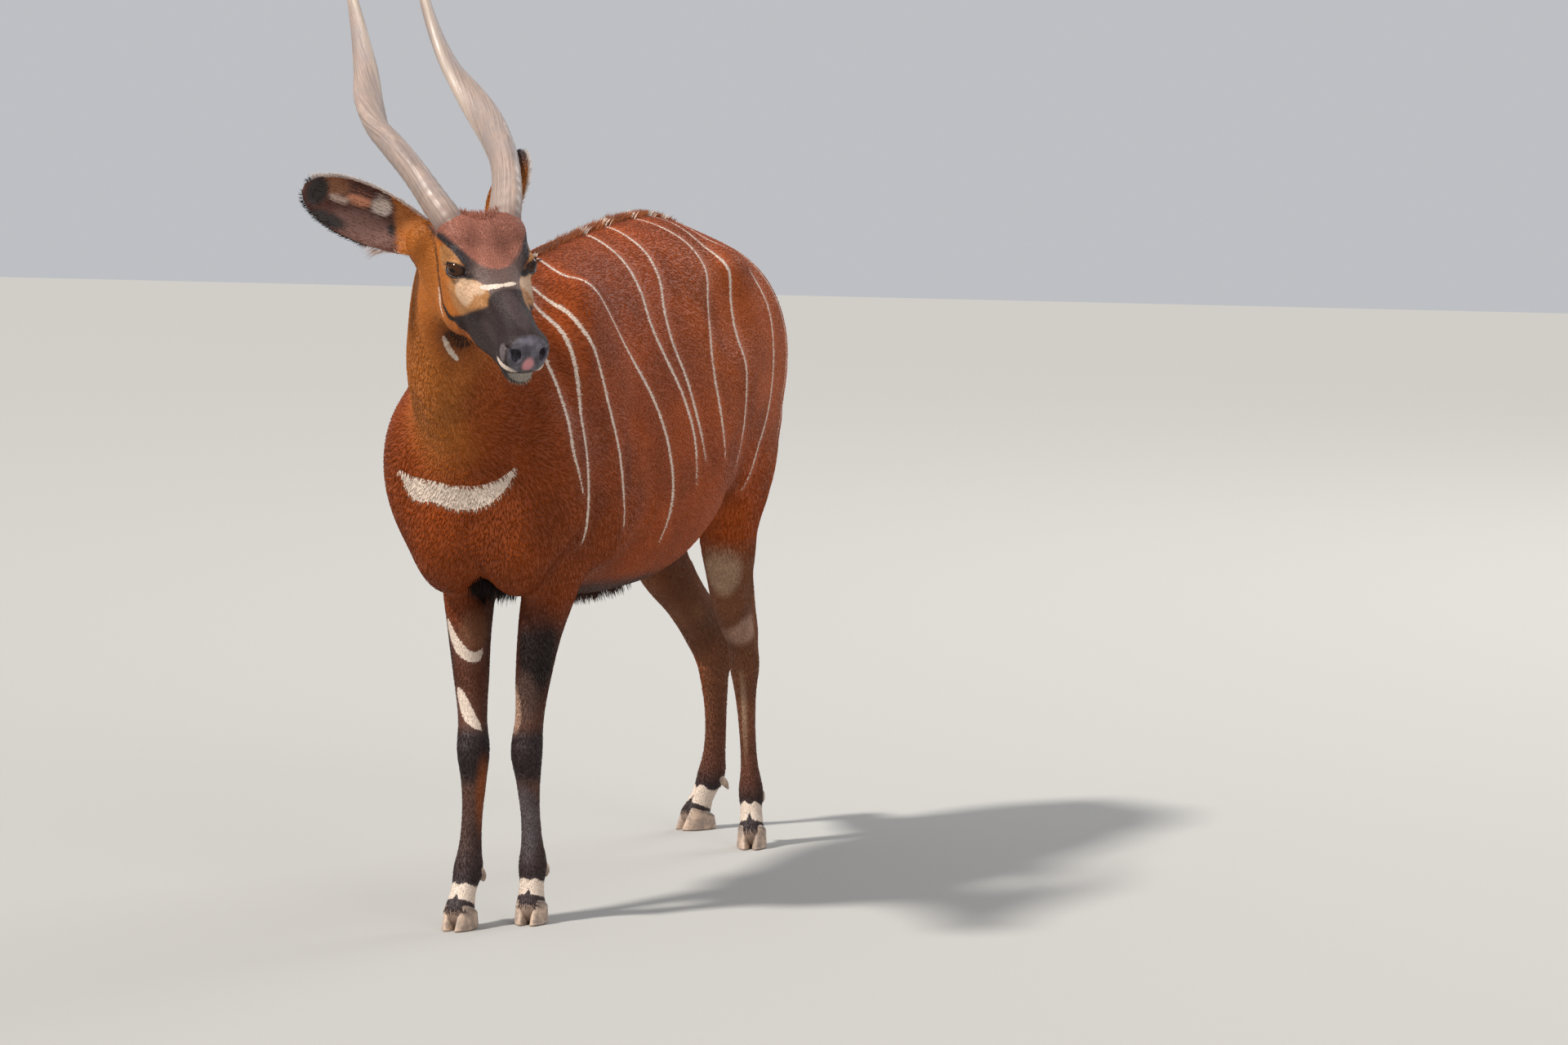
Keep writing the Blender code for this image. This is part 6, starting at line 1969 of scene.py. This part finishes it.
def ear(name, shader, hair, around=25, along=70):
    """A cupped ear: dark and bare inside with white hair along its rim, coated outside."""
    root, way, opening = (np.array(v) for v in EARS[name])
    length = np.linalg.norm(way)
    axis = unit(way)
    opening = unit(opening - (opening @ axis) * axis)
    side = np.cross(axis, opening)
    upper = 1.0 if (from_head(side) - from_head((0, 0, 0)))[2] > 0 else -1.0
    sweep = np.linspace(-1.0, 1.0, around)
    table = hermite_table(EAR, along)
    rings, tints = [], []
    for share, half, depth, hollow in table:
        half = max(half, 0.004)
        across = half * np.sin(0.5 * math.pi * sweep)
        back = -depth * np.cos(0.5 * math.pi * sweep)
        ribs = 0.0008 * np.sin(sweep * 9.0) * math.sin(math.pi * share)
        lip = 0.0022 * min(1.0, half / 0.02)
        outer = np.stack([across, back - lip], 1)
        inner = np.stack([across * (1 - lip / half), back * hollow + lip + ribs], 1)[::-1]
        ring = np.concatenate([outer, inner])
        centre = root + axis * length * share
        rings.append(from_head(centre + ring[:, :1] * side + ring[:, 1:] * opening))
        tints += [ear_outside(np.full(around, share)), ear_inside(share, across[::-1] * upper)]
    obj = ring_mesh(name + "_blade", rings)
    ends = np.array((ORANGE, EAR_DARK))
    set_colour(obj, "tint", np.concatenate(tints + [ends]))
    place(obj, "hide", shader, name)
    ear_hair(name, np.array(rings), around, upper, hair)
    return obj


def ear_hair(name, rings, around, upper, shader):
    """Fringes along the rim, hair inside near the base, and the short coat of the back of the ear."""
    draw = np.random.default_rng(EAR_SEEDS[name])
    along = len(rings)
    centre = rings.mean(axis=1)
    axis = unit_rows(np.gradient(centre, axis=0))
    few = 1
    pieces = []
    for rim in (1, -1):
        top = rim * upper > 0
        count = EAR_RIM_HAIR[0 if top else 1] // few
        where = draw.uniform(0.10, 0.99, count)
        i = np.minimum((where * (along - 1)).astype(int), along - 1)
        outer, inner = (around - 1, around) if rim > 0 else (0, 2 * around - 1)
        root = rings[i, outer] + (rings[i, inner] - rings[i, outer]) * 0.5
        out = unit_rows(root - centre[i])
        lie = 0.75 * axis[i] + 0.55 * out + draw.normal(0, 0.18, (count, 3))
        white = where < (0.97 if top else 0.42)
        tassel = np.zeros(count) if top else np.exp(-(((where - 0.36) / 0.07) ** 2))
        colour = tinted(np.where(white[:, None], EAR_WHITE, EAR_DARK), tassel, EAR_TASSEL)
        lie = lie + tassel[:, None] * (0.8 * out - 0.3 * axis[i])
        length = (0.014 if top else 0.011) * draw.uniform(0.5, 1.25, count) * (1.0 + 1.6 * tassel)
        pieces.append((root - 0.001 * out, lie, -0.12 * out, length, colour))
    count = EAR_INNER_HAIR // few
    where = draw.uniform(0.10, 0.92, count)
    i = (where * (along - 1)).astype(int)
    lane = draw.uniform(0.03, 0.97, count)
    root = rings[i, around + (lane * (around - 1)).astype(int)]
    mouth = unit_rows(rings[i, around - 1] + rings[i, 0] - 2 * centre[i])
    lie = axis[i] + 0.25 * mouth + draw.normal(0, 0.20, (count, 3))
    rise = np.linalg.norm(rings[i, 0] - centre[i], axis=1) / HEAD_SIZE * (1 - 2 * lane) * upper
    colour = ear_inside(where, rise) * draw.uniform(1.0, 1.9, count)[:, None]
    white = np.hypot((where - 0.44) / 0.10, (rise - 0.020) / 0.024) < 1.0
    length = np.where(white, 0.016, 0.008) * draw.uniform(0.5, 1.2, count)
    pieces.append((root, lie, 0.15 * mouth, length, colour))
    roots, lie, bend, length, colour = (np.concatenate(v) for v in zip(*pieces))
    hair_piece(name + "_hair", roots, lie, bend, length, EAR_HAIR_WIDTH, colour, shader, EAR_SHADE_SEED)
    count = EAR_BACK_FUR // few
    where = draw.uniform(0.02, 0.99, count)
    i = np.minimum((where * (along - 1)).astype(int), along - 2)
    lane = draw.uniform(0, 1, count) * (around - 1)
    column = np.minimum(lane.astype(int), around - 2)
    root = rings[i, column] + (lane - column)[:, None] * (rings[i, column + 1] - rings[i, column])
    normal = unit_rows(root - centre[i])
    lie = unit_rows(flattened(axis[i] + draw.normal(0, 0.12, (count, 3)), normal))
    shade = np.clip(draw.normal(1.0, 0.15, count), 0.6, 1.4)
    length = 0.009 * draw.uniform(0.7, 1.2, count)
    width, lift = np.full(count, EAR_FUR_WIDTH), np.full(count, 0.0012)
    looks = (np.c_[lane * 0.004, where * 0.25], ear_outside(where), np.full(count, 1.0), shade)
    place(tufts(name + "_fur", root, normal, lie, length, width, lift, 0.0006, *looks), "hide", shader)


def eye(side, shader):
    """The eyeball, with a dark brown iris and a level pupil."""
    name = side_name("eye", side)
    bm = bmesh.new()
    bmesh.ops.create_icosphere(bm, subdivisions=5, radius=1.0)
    mesh = bpy.data.meshes.new(name + "_ball")
    bm.to_mesh(mesh)
    bm.free()
    points = np.array([v.co for v in mesh.vertices])
    along, up, outward = eye_axes()
    turn = np.degrees(np.arccos(np.clip(points @ outward, -1, 1)))
    across, rise = points @ along, points @ up
    cornea = 1.0 + 0.05 * (1.0 - smooth(10.0, 44.0, turn))
    oval = np.sqrt((across / 0.30) ** 2 + (rise / 0.17) ** 2)
    pupil = (1.0 - smooth(0.85, 1.1, oval)) * (turn < 60)
    iris = 1.0 - smooth(38.0, 44.0, turn)
    local = np.array(EYE_CENTRE) + points * cornea[:, None] * (EYE_RADIUS - 0.0003)
    local = local * (1, side, 1)
    made = from_head(local) + np.array(ORIGIN_SHIFT)
    mesh.vertices.foreach_set("co", made.ravel().astype(np.float32))
    if side < 0:
        mesh.flip_normals()
    mesh.shade_smooth()
    obj = new_object(name + "_ball", mesh)
    set_value(obj, "iris", iris)
    set_value(obj, "pupil", pupil)
    return place(obj, "eye", shader, name)


def lashes(side, shader):
    """Short dark lashes along the upper lid."""
    count, width, length = LASHES
    draw = np.random.default_rng(LASH_SEEDS[0] + side)
    along, up, outward = eye_axes()
    where = draw.uniform(-0.95, 0.85, count)
    half, high = LID_OPENING
    across, rise = half * where, high * np.sqrt(1 - where**2) - LID_SLANT * half * where
    reach = np.sqrt(np.maximum((EYE_RADIUS + 0.0035) ** 2 - across**2 - rise**2, 0))
    local = np.array(EYE_CENTRE) + across[:, None] * along + rise[:, None] * up + reach[:, None] * outward
    lie = 0.9 * outward + 0.35 * where[:, None] * along - 0.05 * up + draw.normal(0, 0.08, (count, 3))
    roots = from_head(local * (1, side, 1))
    way = lie * (1, side, 1) @ HEAD_AXES.T
    bend = HEAD_AXES @ np.array((0, 0, 0.25))
    length = length * draw.uniform(0.7, 1.1, count)
    return hair_piece(side_name("lashes", side), roots, way, bend, length, width, BLACK, shader, LASH_SEEDS[1])


def claw(leg, side, around=44):
    """One claw of a cloven hoof, flat at the sole and along the cleft, with a worn lower edge."""
    name = side_name("claw_" + leg, side)
    stations = leg_stations(leg, FORELEG if leg.startswith("front") else HINDLEG)
    x, y = stations[-1, :2]
    turn = turned(stations[-1, 5])
    angles = 2 * math.pi * np.arange(around) / around
    rows = np.array([(h if h >= 0.1 else h * 10, *sizes) for h, *sizes in CLAW])
    fine = np.concatenate([[0.0, 0.02, 0.04, 0.08], np.linspace(0.12, 1.0, 16), [1.12]])
    rings, heights = [], []
    for key in fine:
        wide, long, back = read_columns(rows, key, (1, 2, 3))
        wide, long = (v * (0.80 if key > 1.0 else 1.0) for v in (wide, long))
        ridge = 1.0 + 0.008 * math.sin(key * 38.0)
        across = CLAW_HALF_WIDTH * wide * ridge * (1 + np.cos(angles))
        ahead = CLAW_HALF_LENGTH * (long * ridge * np.sin(angles) - back)
        taper = 1.0 - 0.30 * np.maximum(ahead / CLAW_HALF_LENGTH, 0.0) ** 2
        cleft = CLEFT + (0.003 if key > 1.0 else 0.0)
        if key < 0.1:
            rise = np.full(around, min(0.004 * key / 0.04, 0.004))
        else:
            rise = key * (CORONET_HEIGHT + CORONET_SLOPE * ahead - GAP)
        plan = np.stack([side * (cleft + across * taper), -ahead], 1) @ turn.T
        rings.append(np.c_[plan + (x, y), rise])
        heights.append(np.full(around, min(key, 1.0)))
    obj = ring_mesh(name + "_horn", rings)
    set_value(obj, "height", np.r_[np.concatenate(heights), 0.0, 1.0])
    return obj, name


def dewclaw(leg, side, around=20):
    """A blunt little claw behind the fetlock."""
    height, behind, aside = DEWCLAW_PLACE
    stations = leg_stations(leg, FORELEG if leg.startswith("front") else HINDLEG)[::-1]
    x, y, degrees = read_columns(stations, height, (0, 1, 5), 2)
    turn = turned(degrees)
    angles = 2 * math.pi * np.arange(around) / around
    rings = []
    for out, drop, radius in hermite_table(DEWCLAW, 12):
        plan = np.stack([side * aside + radius * np.cos(angles), np.full(around, behind + out)], 1)
        rise = height - drop + radius * np.sin(angles)
        rings.append(np.c_[plan @ turn.T + (x, y), rise])
    obj = ring_mesh(side_name("dewclaw_" + leg, side), rings)
    set_value(obj, "height", np.full(len(obj.data.vertices), 0.5))
    return obj


# Stage


def camera():
    """The camera, from the left of the animal's front."""
    made = bpy.data.cameras.new("Camera")
    made.lens = CAMERA_LENS
    made.sensor_width = 36.0
    obj = new_object("Camera", made)
    right, back = Vector(CAMERA_RIGHT), Vector(CAMERA_BACK)
    turn = Matrix((right, back.cross(right), back)).transposed().to_4x4()
    spot = Vector(CAMERA_PLACE) + Vector(ORIGIN_SHIFT)
    obj.matrix_world = Matrix.Translation(spot) @ turn
    bpy.context.scene.camera = obj


def light(name, kind, power, colour, back):
    """A light that shines against the way back."""
    made = bpy.data.lights.new(name, kind)
    made.energy = power
    made.color = colour
    obj = new_object(name, made)
    obj.rotation_euler = back.to_track_quat("Z", "Y").to_euler()
    return obj


def stage():
    """A pale floor, and soft studio lights with the key high on the camera's left."""
    corners = np.array(((-1, -1, 0), (1, -1, 0), (1, 1, 0), (-1, 1, 0))) * FLOOR_HALF
    floor = mesh_from_arrays("floor", corners, ((0, 1, 2, 3),))
    shader = Shader("Floor", 0.85)
    shader.main.inputs["Base Color"].default_value = FLOOR_TONE
    floor.data.materials.append(shader.material)
    for name, back, strength, breadth, colour in SUNS:
        light(name, "SUN", strength, colour, Vector(back)).data.angle = math.radians(breadth)
    place, target, size, power, colour = RIM_LIGHT
    rim = light("Rim", "AREA", power, colour, Vector(place) - Vector(target))
    rim.location = place
    rim.data.size = size
    world = bpy.data.worlds.new("World")
    world.use_nodes = True
    for socket, value in zip(world.node_tree.nodes["Background"].inputs, SKY):
        socket.default_value = value
    bpy.context.scene.world = world
    bpy.context.scene.view_settings.view_transform = "Standard"


def read_table(items, key, kind):
    """A table of three columns, read from a mesh's data."""
    values = np.zeros(len(items) * 3, kind)
    items.foreach_get(key, values)
    return values.reshape(-1, 3)


def build_skin():
    """The one skin, with its colours, and arrays of it for the coat."""
    skin = Skin()
    mesh = skin_mesh(skin)
    obj = new_object("skin", mesh)
    mesh.shade_smooth()
    vertices = read_table(mesh.vertices, "co", np.float32).astype(float)
    normals = read_table(mesh.vertices, "normal", np.float32).astype(float)
    mesh.calc_loop_triangles()
    triangles = read_table(mesh.loop_triangles, "vertices", np.int32)
    colour, edge = paint(vertices)
    bare, pink = bareness(vertices)
    set_colour(obj, "tint", colour)
    set_value(obj, "white_edge", edge)
    set_value(obj, "bare", bare)
    set_value(obj, "pink", pink)
    layer = mesh.attributes.new("grain", "FLOAT_VECTOR", "POINT")
    flat = chart(vertices, region_of(vertices))
    layer.data.foreach_set("vector", np.c_[flat, np.zeros(len(flat))].ravel().astype(np.float32))
    mesh.transform(Matrix.Translation(ORIGIN_SHIFT))
    place(obj, "hide", skin_material(), *SKIN_NODES)
    return vertices, normals, triangles


def main():
    camera()
    stage()
    vertices, normals, triangles = build_skin()
    fur = coat_material("Coat")
    long_hair = coat_material("Long hair", 0.48)
    short_fur(vertices, normals, triangles, fur)
    horn_shader, ear_shader = horn_material(), ear_material()
    eye_shader, hoof_shader = eye_material(), hoof_material()
    for side in (1, -1):
        horn(side, horn_shader)
        eye(side, eye_shader)
        lashes(side, long_hair)
    for name in EARS:
        ear(name, ear_shader, long_hair)
    for leg in STANCES:
        for side in (1, -1):
            obj, name = claw(leg, side)
            place(obj, "hoof", hoof_shader, name)
            place(dewclaw(leg, side), "hoof", hoof_shader)
    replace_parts(crest_hair(long_hair), "crest")
    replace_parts(tuft_hair(long_hair), "tail_tuft")
    loose_hair(vertices, normals, long_hair)


main()
